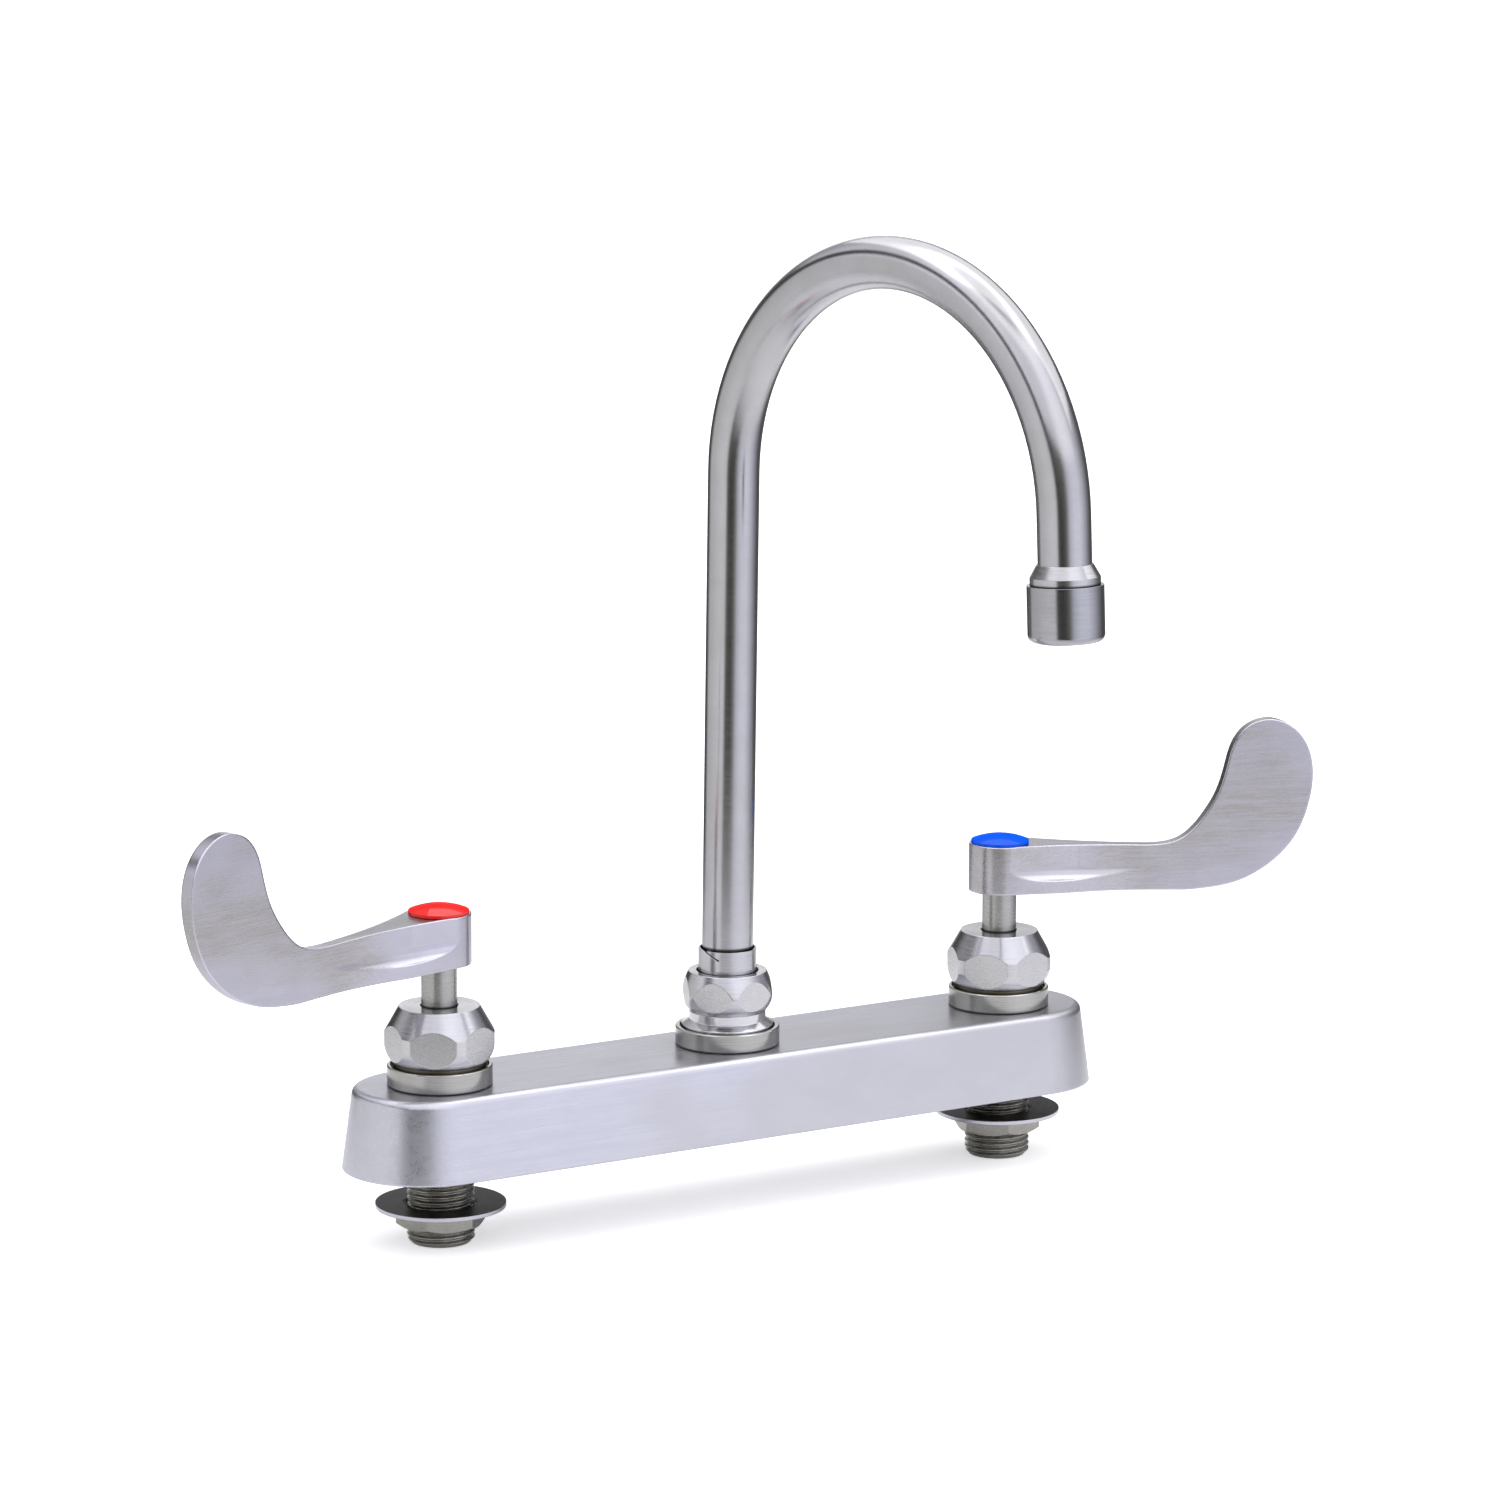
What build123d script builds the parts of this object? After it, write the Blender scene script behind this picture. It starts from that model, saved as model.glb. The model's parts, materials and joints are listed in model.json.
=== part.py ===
from build123d import *
import os
from math import atan2, cos, degrees, radians, sin, tan

os.makedirs("parts", exist_ok=True)

# Deck-mount faucet with a swivelling gooseneck spout and two wing-blade handles.
# Millimetres, +Z up, -Y towards the user, hot valve at -X and cold valve at +X.
# The origin is on the underside of the body, midway between the two inlet shanks.

# Named clearances
running_fit = 0.05
loose_fit = 0.3
press_gap = 0.02
seat_gap = 0.1

# Body casting
inlet_spacing = 203.2
body_length = 264.0
body_width = 50.8
body_height = 25.0
body_draft = 7.7
body_top_round = 2.35
body_wall = 3.0
valve_boss_radius = 14.0
spout_boss_radius = 14.0
spout_boss_foot = 4.5
centre_foot_radius = 9.0
rib_offset = 50.8
rib_thickness = 2.4
rib_depth = 9.0

# Waterway bar that joins the three bosses
waterway_height = 17.0
waterway_radius = 6.5
waterway_bore = 4.0

# Inlet shanks, washers and locknuts
shank_radius = 10.3
shank_length = 24.1
shank_bore = 6.4
shank_chamfer = 1.4
spigot_radius = 9.0
spigot_length = 5.9
washer_radius = 19.9
washer_bore = 11.4
washer_thickness = 1.2
locknut_flats = 24.25
locknut_height = 5.7
locknut_chamfer = 1.1

# Valve seat, discs and cartridge
seat_web = 2.0
seat_bore = 5.5
seal_height = 1.6
seal_radius = 8.6
seal_bore = 5.8
disc_radius = 8.7
stator_thickness = 1.8
rotor_thickness = 2.0
port_inner_radius = 3.0
port_outer_radius = 6.6
port_angle = 76.0
barrel_radius = 10.45
chamber_radius = 8.8
chamber_top = 21.0
window_width = 8.0
window_height = 6.0
flange_radius = 13.9
flange_height = 4.2
neck_thread_radius = 10.85
neck_height = 11.6

# Collar rings that stand on the body
collar_radius = 16.0
collar_height = 6.2
collar_floor = 3.0
collar_lip = 1.0
spout_collar_radius = 16.25
spout_collar_height = 5.8
spout_collar_lip = 1.4
edge_break = 0.3

# Bonnet nuts
bonnet_height = 17.1
bonnet_foot_radius = 14.5
bonnet_radius = 16.75
bonnet_top_radius = 12.3
bonnet_chamfer_height = 4.8
bonnet_band_height = 4.4
bonnet_flats = 30.4
bonnet_roof = 5.0
stem_hole_radius = 5.8
hot_bonnet_turn = 54.7
cold_bonnet_turn = 41.0

# Valve stems
stem_radius = 5.45
stem_waist_radius = 3.5
stem_collar_radius = 7.2
stem_collar_height = 2.6
tang_width = 2.9
tang_length = 12.0
tang_depth = 1.0
stem_groove_depth = 1.1
stem_groove_width = 2.0
stem_groove_height = 33.0
stem_drive_square = 7.0
stem_drive_length = 5.2
stem_rise = 62.4

# Lever handles
hub_radius = 9.9
hub_height = 15.4
hub_web = 2.4
lever_reach = 102.1
lever_thickness = 4.3
lever_drop = 1.85
arm_length = 0.431 * lever_reach
blade_rise = 37.7
hot_lever_azimuth = 196.7
cold_lever_azimuth = -21.6
scoop_flange = 3.0
scoop_radius = 4.6
neck_radius = 124.0
neck_gain = 0.05

# Handle screws and index buttons
screw_radius = 2.0
screw_length = 12.0
screw_head_radius = 4.6
screw_head_height = 2.6
screw_slot_width = 1.2
screw_slot_depth = 1.2
button_radius = 9.2
button_rim = 0.9
button_dome = 1.85
button_spigot_radius = 6.4
button_spigot_length = 3.2

# Spout post and nut
post_spigot_radius = 10.45
post_flange_radius = 14.3
post_flange_height = 3.4
post_cone_height = 1.5
post_neck_radius = 11.95
post_neck_height = 2.7
post_thread_radius = 10.9
post_thread_length = 7.4
post_counterbore_radius = 9.75
post_counterbore_depth = 3.0
spout_nut_height = 12.6
spout_nut_radius = 14.66
spout_nut_foot_radius = 11.9
spout_nut_top_radius = 12.25
spout_nut_flats = 26.08
spout_nut_turn = 38.5
spout_nut_roof = 3.2
spout_nut_hole = 9.65

# Split sleeve
sleeve_radius = 9.08
sleeve_bore = 8.4
sleeve_rise = 7.2
sleeve_flange_radius = 10.6
sleeve_slit = 0.8
sleeve_slit_depth = 2.5
sleeve_slit_lean = 66.0
sleeve_slit_turn = -158.5
sleeve_stop_hole = 0.35

# Gooseneck tube
tube_radius = 7.9375
tube_wall = 1.2
tube_foot = 22.5
spout_turn = 11.2
riser_lean = 0.9
lean_radius = 300.0
lean_height = 56.4
bend_height = 204.7
bend_radius = 70.2
bend_sweep = 176.34
oring_section = 1.41
oring_groove_width = 1.9
oring_spacing = 5.0
snap_ring_height = 1.4
snap_ring_radius = 9.4
snap_groove_depth = 0.44
snap_ring_gap = 60.0
thrust_washer_thickness = 1.0

# Outlet adapter and aerator
leg_length = 14.3
adapter_lip = 0.35
adapter_cone_length = 3.7
adapter_radius = 10.35
adapter_band_length = 2.25
adapter_thread_length = 9.7
adapter_socket_depth = 9.9
shell_radius = 11.3
shell_length = 16.7
shell_round = 2.5
shell_lip_width = 1.9
shell_lip_height = 1.05
gasket_thickness = 1.4
gasket_bore = 7.4
insert_ring_width = 1.6
insert_plate_thickness = 1.4
insert_hole_radius = 0.75

# Derived places
valve_x = inlet_spacing / 2
tube_bore = tube_radius - tube_wall
valve_bore = barrel_radius + running_fit
seat_height = spigot_length + seat_gap + seat_web
stator_foot = seat_height + seal_height
rotor_foot = stator_foot + stator_thickness
rotor_top = rotor_foot + rotor_thickness
collar_seat = body_height + collar_floor
bonnet_foot = collar_seat + flange_height
bonnet_top = bonnet_foot + bonnet_height
neck_top = bonnet_foot + neck_height
hub_top = stem_rise + hub_height
post_bore = tube_radius + running_fit
post_neck_foot = collar_seat + post_flange_height + post_cone_height
spout_nut_foot = post_neck_foot + post_neck_height
post_top = spout_nut_foot + post_thread_length
counterbore_foot = post_top - post_counterbore_depth
spout_nut_top = spout_nut_foot + spout_nut_height
spout_nut_shoulder = spout_nut_top - spout_nut_roof
sleeve_top = spout_nut_top + sleeve_rise
snap_ring_foot = counterbore_foot + thrust_washer_thickness + running_fit
snap_groove_radius = tube_radius - snap_groove_depth
shank_end = -shank_length
thread_bore = shank_radius + running_fit

hot_place = Plane((-valve_x, 0, 0))
cold_place = Plane((valve_x, 0, 0))
spout_place = Plane((0, 0, 0))


def finish(piece, node):
    """Label a finished piece and write its STEP file."""
    piece.part.label = node
    export_step(piece.part, f"parts/{node}.step")


def half_section(place):
    """The plane through the axis of place in which a turned outline is drawn."""
    return Plane(place.origin, x_dir=place.x_dir, z_dir=-place.y_dir)


def raised(place, height):
    """The plane square to the axis of place, at a height along it."""
    return place.offset(height)


def turned(place, outline):
    """Turn a closed outline of (radius, height) points round the axis of place."""
    with BuildPart() as piece:
        with BuildSketch(half_section(place)):
            with BuildLine():
                Polyline(*outline, close=True)
            make_face()
        revolve(axis=Axis(place.origin, place.z_dir))
    return piece


def ring(place, foot, height, outer, inner):
    """A plain ring round the axis of place."""
    with BuildPart() as piece:
        with BuildSketch(raised(place, foot)):
            Circle(outer)
            Circle(inner, mode=Mode.SUBTRACT)
        extrude(amount=height)
    return piece


def stadium(height, wall):
    """Length and width of the drafted body at a height, less a wall all round."""
    inset = 2 * (height * tan(radians(body_draft)) + wall)
    return body_length - inset, body_width - inset


def build_body():
    """Hollow casting: drafted shell, three bosses, a centre foot, waterway bar and cross ribs."""
    roof = body_height - body_wall
    with BuildPart() as casting:
        with BuildSketch():
            SlotOverall(*stadium(0, 0))
        extrude(amount=body_height, taper=body_draft)
        top_edges = casting.faces().sort_by(Axis.Z)[-1].edges()
        fillet(top_edges, radius=body_top_round)
        with BuildSketch():
            SlotOverall(*stadium(0, body_wall))
        extrude(amount=roof, taper=body_draft, mode=Mode.SUBTRACT)
        with BuildSketch():
            with Locations((-valve_x, 0), (valve_x, 0)):
                Circle(valve_boss_radius)
        extrude(amount=body_height - body_wall / 2)
        with BuildSketch(Plane.XY.offset(spout_boss_foot)):
            Circle(spout_boss_radius)
        extrude(amount=roof - spout_boss_foot + body_wall / 2)
        with BuildSketch():
            Circle(centre_foot_radius)
        extrude(amount=spout_boss_foot + body_wall / 2)
        with BuildSketch(Plane.YZ.offset(-valve_x)):
            with Locations((0, waterway_height)):
                Circle(waterway_radius)
        extrude(amount=inlet_spacing)
        rib_foot = roof - rib_depth
        rib_span = stadium(rib_foot, body_wall)[1] + body_wall / 2
        with BuildSketch(Plane.XY.offset(rib_foot)):
            with Locations((-rib_offset, 0), (rib_offset, 0)):
                Rectangle(rib_thickness, rib_span)
        extrude(amount=rib_depth + body_wall / 2)
        with BuildSketch(Plane.YZ.offset(-valve_x)):
            with Locations((0, waterway_height)):
                Circle(waterway_bore)
        extrude(amount=inlet_spacing, mode=Mode.SUBTRACT)
        with BuildSketch(Plane.XY.offset(seat_height)):
            with Locations((-valve_x, 0), (valve_x, 0)):
                Circle(valve_bore)
        extrude(amount=body_height, mode=Mode.SUBTRACT)
        with BuildSketch(Plane.XY.offset(spout_boss_foot + body_wall)):
            Circle(post_spigot_radius + running_fit)
        extrude(amount=body_height, mode=Mode.SUBTRACT)
        with BuildSketch():
            with Locations((-valve_x, 0), (valve_x, 0)):
                Circle(spigot_radius + press_gap)
        extrude(amount=spigot_length + seat_gap, mode=Mode.SUBTRACT)
        with BuildSketch():
            with Locations((-valve_x, 0), (valve_x, 0)):
                Circle(seat_bore)
        extrude(amount=seat_height, mode=Mode.SUBTRACT)
    return casting


def build_collar(place, radius, height, lip, hole):
    """Collar ring: a floor that is clamped to the body and a thin upstanding lip."""
    foot = body_height
    top = foot + height
    outline = [
        (hole, foot),
        (radius - edge_break, foot),
        (radius, foot + edge_break),
        (radius, top - edge_break),
        (radius - edge_break, top),
        (radius - lip, top),
        (radius - lip, collar_seat),
        (hole, collar_seat),
    ]
    return turned(place, outline)


def build_cartridge(place):
    """Cartridge: windowed barrel in the body, clamping flange and threaded neck."""
    foot = seat_height + loose_fit
    outline = [
        (chamber_radius, foot),
        (barrel_radius, foot),
        (barrel_radius, collar_seat),
        (flange_radius, collar_seat),
        (flange_radius, bonnet_foot),
        (neck_thread_radius, bonnet_foot),
        (neck_thread_radius, neck_top),
        (stem_radius + running_fit, neck_top),
        (stem_radius + running_fit, chamber_top),
        (chamber_radius, chamber_top),
    ]
    barrel = turned(place, outline)
    window_foot = waterway_height - window_height / 2
    with BuildPart() as cartridge:
        add(barrel.part)
        with BuildSketch(raised(place, window_foot)):
            Rectangle(4 * barrel_radius, window_width)
        extrude(amount=window_height, mode=Mode.SUBTRACT)
    return cartridge


def build_bonnet(place, turn):
    """Bonnet nut: a turned double cone cut by six flats."""
    flats_radius = bonnet_flats / 2
    band_foot = bonnet_foot + bonnet_chamfer_height
    band_top = band_foot + bonnet_band_height
    chamfer_mid = (bonnet_foot_radius + bonnet_radius) / 2
    ceiling = bonnet_top - bonnet_roof
    inner = neck_thread_radius + running_fit
    with BuildPart() as bonnet:
        with BuildSketch(half_section(place)):
            with BuildLine():
                ThreePointArc(
                    (bonnet_foot_radius, bonnet_foot),
                    (chamfer_mid + 0.35, bonnet_foot + bonnet_chamfer_height / 2),
                    (bonnet_radius, band_foot),
                )
                Polyline(
                    (bonnet_radius, band_foot),
                    (bonnet_radius, band_top),
                    (bonnet_top_radius, bonnet_top),
                    (stem_hole_radius, bonnet_top),
                    (stem_hole_radius, ceiling),
                    (inner, ceiling),
                    (inner, bonnet_foot),
                    (bonnet_foot_radius, bonnet_foot),
                )
            make_face()
        revolve(axis=Axis(place.origin, place.z_dir))
        with BuildSketch(raised(place, bonnet_foot)):
            RegularPolygon(flats_radius, 6, major_radius=False, rotation=turn - 30)
        extrude(amount=bonnet_height, mode=Mode.INTERSECT)
    return bonnet


def build_stem(place, azimuth):
    """Stem: disc-driving tang, thrust collar, sealing groove and square drive."""
    collar_top = chamber_top - running_fit
    collar_foot = collar_top - stem_collar_height
    groove_foot = stem_groove_height
    groove_top = groove_foot + stem_groove_width
    groove_radius = stem_radius - stem_groove_depth
    shaft_foot = rotor_top + running_fit
    outline = [
        (0, shaft_foot),
        (stem_waist_radius, shaft_foot),
        (stem_waist_radius, collar_foot),
        (stem_collar_radius, collar_foot),
        (stem_collar_radius, collar_top),
        (stem_radius, collar_top),
        (stem_radius, groove_foot),
        (groove_radius, groove_foot),
        (groove_radius, groove_top),
        (stem_radius, groove_top),
        (stem_radius, stem_rise),
        (0, stem_rise),
    ]
    shaft = turned(place, outline)
    drive_plane = place.rotated((0, 0, azimuth))
    tang_foot = rotor_top - tang_depth + running_fit
    with BuildPart() as stem:
        add(shaft.part)
        with BuildSketch(raised(drive_plane, tang_foot)):
            Rectangle(tang_length, tang_width)
        extrude(amount=2 * tang_depth)
        with BuildSketch(raised(drive_plane, stem_rise)):
            RectangleRounded(stem_drive_square, stem_drive_square, edge_break)
        extrude(amount=stem_drive_length)
        with BuildSketch(raised(place, stem_rise + stem_drive_length)):
            Circle(screw_radius + running_fit)
        extrude(amount=-screw_length, mode=Mode.SUBTRACT)
    return stem


def build_disc(place, foot, thickness, radius, port_azimuth):
    """Ceramic disc with two opposite sector ports."""
    with BuildPart() as disc:
        with BuildSketch(raised(place.rotated((0, 0, port_azimuth)), foot)):
            Circle(radius)
            with BuildLine():
                for start in (-port_angle / 2, 180 - port_angle / 2):
                    outer = CenterArc((0, 0), port_outer_radius, start, port_angle)
                    inner = CenterArc((0, 0), port_inner_radius, start, port_angle)
                    Line(inner @ 0, outer @ 0)
                    Line(inner @ 1, outer @ 1)
            make_face(mode=Mode.SUBTRACT)
        extrude(amount=thickness)
    return disc


def build_rotor(place, azimuth):
    """Moving disc: ports across the fixed ones, and a slot for the stem's tang."""
    disc = build_disc(place, rotor_foot, rotor_thickness, disc_radius - 2 * seat_gap, azimuth + 90)
    slot_foot = rotor_top - tang_depth
    with BuildPart() as rotor:
        add(disc.part)
        with BuildSketch(raised(place.rotated((0, 0, azimuth)), slot_foot)):
            Rectangle(tang_length + 2 * loose_fit, tang_width + 2 * seat_gap)
        extrude(amount=tang_depth, mode=Mode.SUBTRACT)
    return rotor


def build_torus(place, height, inner, outer):
    """O-ring of round section between two radii."""
    section = (outer - inner) / 2
    with BuildPart() as oring:
        with BuildSketch(half_section(place)):
            with Locations(((inner + outer) / 2, height)):
                Circle(section)
        revolve(axis=Axis(place.origin, place.z_dir))
    return oring


def build_lever():
    """Wing-blade lever along +X from its hub, before it is turned to its valve."""
    arm_drop = hub_top - lever_drop
    arm_foot = stem_rise - lever_drop
    blade_top = hub_top + blade_rise
    blade_height = blade_top - arm_foot
    blade_run = lever_reach - arm_length
    half_blade = lever_thickness / 2
    slope = lever_drop / (arm_length - hub_radius / 2)
    neck_points = [
        (0.20, 0.010),
        (0.30, 0.080),
        (0.39, 0.225),
        (0.465, 0.410),
        (0.512, 0.630),
        (0.550, 0.810),
        (0.625, 0.945),
    ]
    crown_point = (0.745, 1.0)
    heel_points = [
        (0.86, 0.965),
        (0.960, 0.850),
        (1.0, 0.665),
        (0.980, 0.500),
        (0.915, 0.320),
        (0.80, 0.175),
        (0.65, 0.072),
        (0.48, 0.018),
        (0.28, 0.0),
    ]

    def outlined(points, foot):
        """Points given as shares of the blade's run and of its rise above foot."""
        rise = blade_top - foot
        return [(arm_length + share * blade_run, foot + up * rise) for share, up in points]

    with BuildPart() as side_form:
        with BuildSketch(Plane.XZ):
            with BuildLine():
                hub_line = Line((-1.2 * hub_radius, hub_top), (hub_radius / 2, hub_top))
                arm_line = Line(hub_line @ 1, (arm_length, arm_drop))
                blade_edge = Spline(
                    arm_line @ 1,
                    *outlined(neck_points, arm_drop),
                    *outlined([crown_point, *heel_points], arm_foot),
                    tangents=[(1, -slope), (-1, 0)],
                    tangent_scalars=(0.4, 0.4),
                )
                foot_line = Line(blade_edge @ 1, (hub_radius * 0.9, stem_rise))
                Polyline(foot_line @ 1, (-1.2 * hub_radius, stem_rise), hub_line @ 0)
            make_face()
        extrude(amount=1.2 * hub_radius, both=True)
    scoop_turn = Plane(
        (arm_length, half_blade + neck_gain, stem_rise - lever_drop / 2 + scoop_flange),
        x_dir=(0, 1, 0),
        z_dir=(1, 0, -slope),
    )
    with BuildPart() as scoop:
        with BuildSketch(scoop_turn):
            with BuildLine():
                Line((0, 2 * hub_height), (0, scoop_radius))
                JernArc((0, scoop_radius), (0, -1), scoop_radius, 90)
                Polyline(
                    (scoop_radius, 0),
                    (1.5 * hub_radius, 0),
                    (1.5 * hub_radius, 2 * hub_height),
                    (0, 2 * hub_height),
                )
            make_face()
        centre = scoop_turn.from_local_coords(Vector(neck_radius, 0, 0))
        revolve(axis=Axis(centre, scoop_turn.y_dir))
        mirror(about=Plane.XZ)
    flange_run = arm_length + 0.1 * blade_run
    flange_drop = hub_radius - half_blade
    flange_radius = (flange_run**2 / 4 + flange_drop**2 / 4) / flange_drop
    flange_turn = degrees(atan2(flange_drop / 2, flange_run / 2)) * 2
    with BuildPart() as lever:
        with BuildSketch(Plane.XY.offset(arm_foot - 1.0)):
            with BuildLine():
                hub_side = JernArc((0, hub_radius), (1, 0), flange_radius, -flange_turn)
                JernArc(hub_side @ 1, hub_side % 1, flange_radius, flange_turn)
                Polyline(
                    (flange_run, half_blade),
                    (lever_reach + 1.0, half_blade),
                    (lever_reach + 1.0, 0),
                )
                CenterArc((0, 0), hub_radius, 90, 90)
                mirror(about=Plane.XZ)
            make_face()
        extrude(amount=blade_height + 2.0)
        add(side_form.part, mode=Mode.INTERSECT)
        add(scoop.part, mode=Mode.SUBTRACT)
        with BuildSketch(Plane.XY.offset(stem_rise)):
            socket = stem_drive_square + 2 * seat_gap
            RectangleRounded(socket, socket, edge_break)
        extrude(amount=stem_drive_length + loose_fit, mode=Mode.SUBTRACT)
        web_foot = stem_rise + stem_drive_length + loose_fit
        with BuildSketch(Plane.XY.offset(web_foot)):
            Circle(screw_radius + loose_fit)
        extrude(amount=hub_height, mode=Mode.SUBTRACT)
        with BuildSketch(Plane.XY.offset(web_foot + hub_web)):
            Circle(button_spigot_radius + running_fit)
        extrude(amount=hub_height, mode=Mode.SUBTRACT)
    return lever


def place_lever(lever, place, azimuth):
    """Copy of the lever, turned to its azimuth on the valve at place."""
    with BuildPart() as handle:
        add(lever.part.moved(place.rotated((0, 0, azimuth)).location))
    return handle


def build_screw(place, azimuth):
    """Handle screw: slotted head on the hub's web, shank down into the stem."""
    head_foot = stem_rise + stem_drive_length + loose_fit + hub_web
    with BuildPart() as screw:
        with BuildSketch(raised(place, head_foot)):
            Circle(screw_head_radius)
        extrude(amount=screw_head_height)
        fillet(screw.edges().sort_by(Axis.Z)[-1], radius=3 * edge_break)
        with BuildSketch(raised(place, head_foot)):
            Circle(screw_radius)
        extrude(amount=-(screw_length - loose_fit))
        slot_foot = head_foot + screw_head_height - screw_slot_depth
        with BuildSketch(raised(place.rotated((0, 0, azimuth + 35)), slot_foot)):
            Rectangle(3 * screw_head_radius, screw_slot_width)
        extrude(amount=screw_slot_depth, mode=Mode.SUBTRACT)
    return screw


def build_button(place):
    """Index button: snap spigot, low rim and shallow dome."""
    rim_top = hub_top + button_rim
    dome_top = rim_top + button_dome
    dome_radius = (button_radius**2 + button_dome**2) / (2 * button_dome)
    shoulder = button_radius * 0.6
    shoulder_drop = dome_radius - (dome_radius**2 - shoulder**2) ** 0.5
    with BuildPart() as button:
        with BuildSketch(half_section(place)):
            with BuildLine():
                ThreePointArc(
                    (0, dome_top), (shoulder, dome_top - shoulder_drop), (button_radius, rim_top)
                )
                Polyline(
                    (button_radius, rim_top),
                    (button_radius, hub_top),
                    (button_spigot_radius, hub_top),
                    (button_spigot_radius, hub_top - button_spigot_length),
                    (0, hub_top - button_spigot_length),
                    (0, dome_top),
                )
            make_face()
        revolve(axis=Axis(place.origin, place.z_dir))
    return button


def build_shank(place):
    """Inlet shank: threaded barrel below the body and a spigot pressed into it."""
    outline = [
        (shank_bore, shank_end),
        (shank_radius - shank_chamfer, shank_end),
        (shank_radius, shank_end + shank_chamfer),
        (shank_radius, 0),
        (spigot_radius, 0),
        (spigot_radius, spigot_length),
        (shank_bore, spigot_length),
    ]
    return turned(place, outline)


def build_locknut(place, top, turn):
    """Hexagon locknut with both ends chamfered."""
    corner_radius = locknut_flats / 2 / cos(radians(30))
    land_radius = locknut_flats / 2
    foot = top - locknut_height
    outline = [
        (thread_bore, foot),
        (land_radius, foot),
        (corner_radius, foot + locknut_chamfer),
        (corner_radius, top - locknut_chamfer),
        (land_radius, top),
        (thread_bore, top),
    ]
    blank = turned(place, outline)
    with BuildPart() as locknut:
        add(blank.part)
        with BuildSketch(raised(place, foot)):
            RegularPolygon(land_radius, 6, major_radius=False, rotation=turn)
        extrude(amount=locknut_height, mode=Mode.INTERSECT)
    return locknut


def build_post():
    """Spout post: windowed spigot, clamping flange, polished neck and thread."""
    spigot_foot = spout_boss_foot + body_wall + loose_fit
    flange_top = collar_seat + post_flange_height
    groove_radius = post_bore + oring_section
    outline = [
        (post_bore, spigot_foot),
        (post_spigot_radius, spigot_foot),
        (post_spigot_radius, collar_seat),
        (post_flange_radius, collar_seat),
        (post_flange_radius, flange_top),
        (post_neck_radius, post_neck_foot),
        (post_neck_radius, spout_nut_foot),
        (post_thread_radius, spout_nut_foot),
        (post_thread_radius, post_top),
        (post_counterbore_radius, post_top),
        (post_counterbore_radius, counterbore_foot),
        (post_bore, counterbore_foot),
    ]
    blank = turned(spout_place, outline)
    window_foot = waterway_height - window_height / 2
    with BuildPart() as post:
        add(blank.part)
        with BuildSketch(Plane.XY.offset(window_foot)):
            Rectangle(4 * post_spigot_radius, window_width)
        extrude(amount=window_height * 0.8, mode=Mode.SUBTRACT)
        for height in oring_heights():
            with BuildSketch(Plane.XY.offset(height - oring_groove_width / 2)):
                Circle(groove_radius)
            extrude(amount=oring_groove_width, mode=Mode.SUBTRACT)
    return post


def oring_heights():
    """Heights of the two O-rings that seal the tube in the post."""
    first = collar_seat + 1.0
    return first, first + oring_spacing


def build_spout_nut():
    """Spout nut: a turned barrel with a shouldered roof, cut by six flats."""
    foot = spout_nut_foot
    top = spout_nut_top
    waist = foot + spout_nut_height * 0.47
    inner = post_thread_radius + running_fit
    with BuildPart() as nut:
        with BuildSketch(half_section(spout_place)):
            with BuildLine():
                ThreePointArc(
                    (spout_nut_foot_radius, foot),
                    (spout_nut_radius - 0.85, foot + spout_nut_height * 0.24),
                    (spout_nut_radius, waist),
                )
                ThreePointArc(
                    (spout_nut_radius, waist),
                    (spout_nut_radius - 0.8, foot + spout_nut_height * 0.67),
                    (spout_nut_top_radius, top),
                )
                Polyline(
                    (spout_nut_top_radius, top),
                    (spout_nut_hole, top),
                    (spout_nut_hole, spout_nut_shoulder),
                    (inner, spout_nut_shoulder),
                    (inner, foot),
                    (spout_nut_foot_radius, foot),
                )
            make_face()
        revolve(axis=Axis.Z)
        with BuildSketch(Plane.XY.offset(foot)):
            RegularPolygon(
                spout_nut_flats / 2, 6, major_radius=False, rotation=spout_nut_turn - 30
            )
        extrude(amount=spout_nut_height, mode=Mode.INTERSECT)
    return nut


def build_sleeve():
    """Split sleeve: clamped flange, thin wall and a leaning slit with a stop hole."""
    outline = [
        (sleeve_bore, post_top),
        (sleeve_flange_radius, post_top),
        (sleeve_flange_radius, spout_nut_shoulder),
        (sleeve_radius, spout_nut_shoulder),
        (sleeve_radius, sleeve_top),
        (sleeve_bore, sleeve_top),
    ]
    blank = turned(spout_place, outline)
    facing = radians(sleeve_slit_turn)
    front = Plane(
        (0, 0, sleeve_top),
        x_dir=(-sin(facing), cos(facing), 0),
        z_dir=(cos(facing), sin(facing), 0),
    )
    run = sleeve_slit_depth * tan(radians(sleeve_slit_lean))
    with BuildPart() as sleeve:
        add(blank.part)
        with BuildSketch(front):
            with BuildLine():
                Polyline(
                    (-run / 2 - sleeve_slit, loose_fit),
                    (-run / 2 + sleeve_slit, loose_fit),
                    (run / 2 + sleeve_slit / 2, -sleeve_slit_depth),
                    (run / 2 - sleeve_slit / 2, -sleeve_slit_depth),
                    close=True,
                )
            make_face()
            with Locations((run / 2, -sleeve_slit_depth)):
                Circle(sleeve_stop_hole)
        extrude(amount=2 * sleeve_radius, mode=Mode.SUBTRACT)
    return sleeve


def spout_section():
    """The upright plane of the gooseneck: x runs outwards and y runs up."""
    turn = radians(spout_turn)
    return Plane((0, 0, 0), x_dir=(sin(turn), -cos(turn), 0), z_dir=(-cos(turn), -sin(turn), 0))


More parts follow.
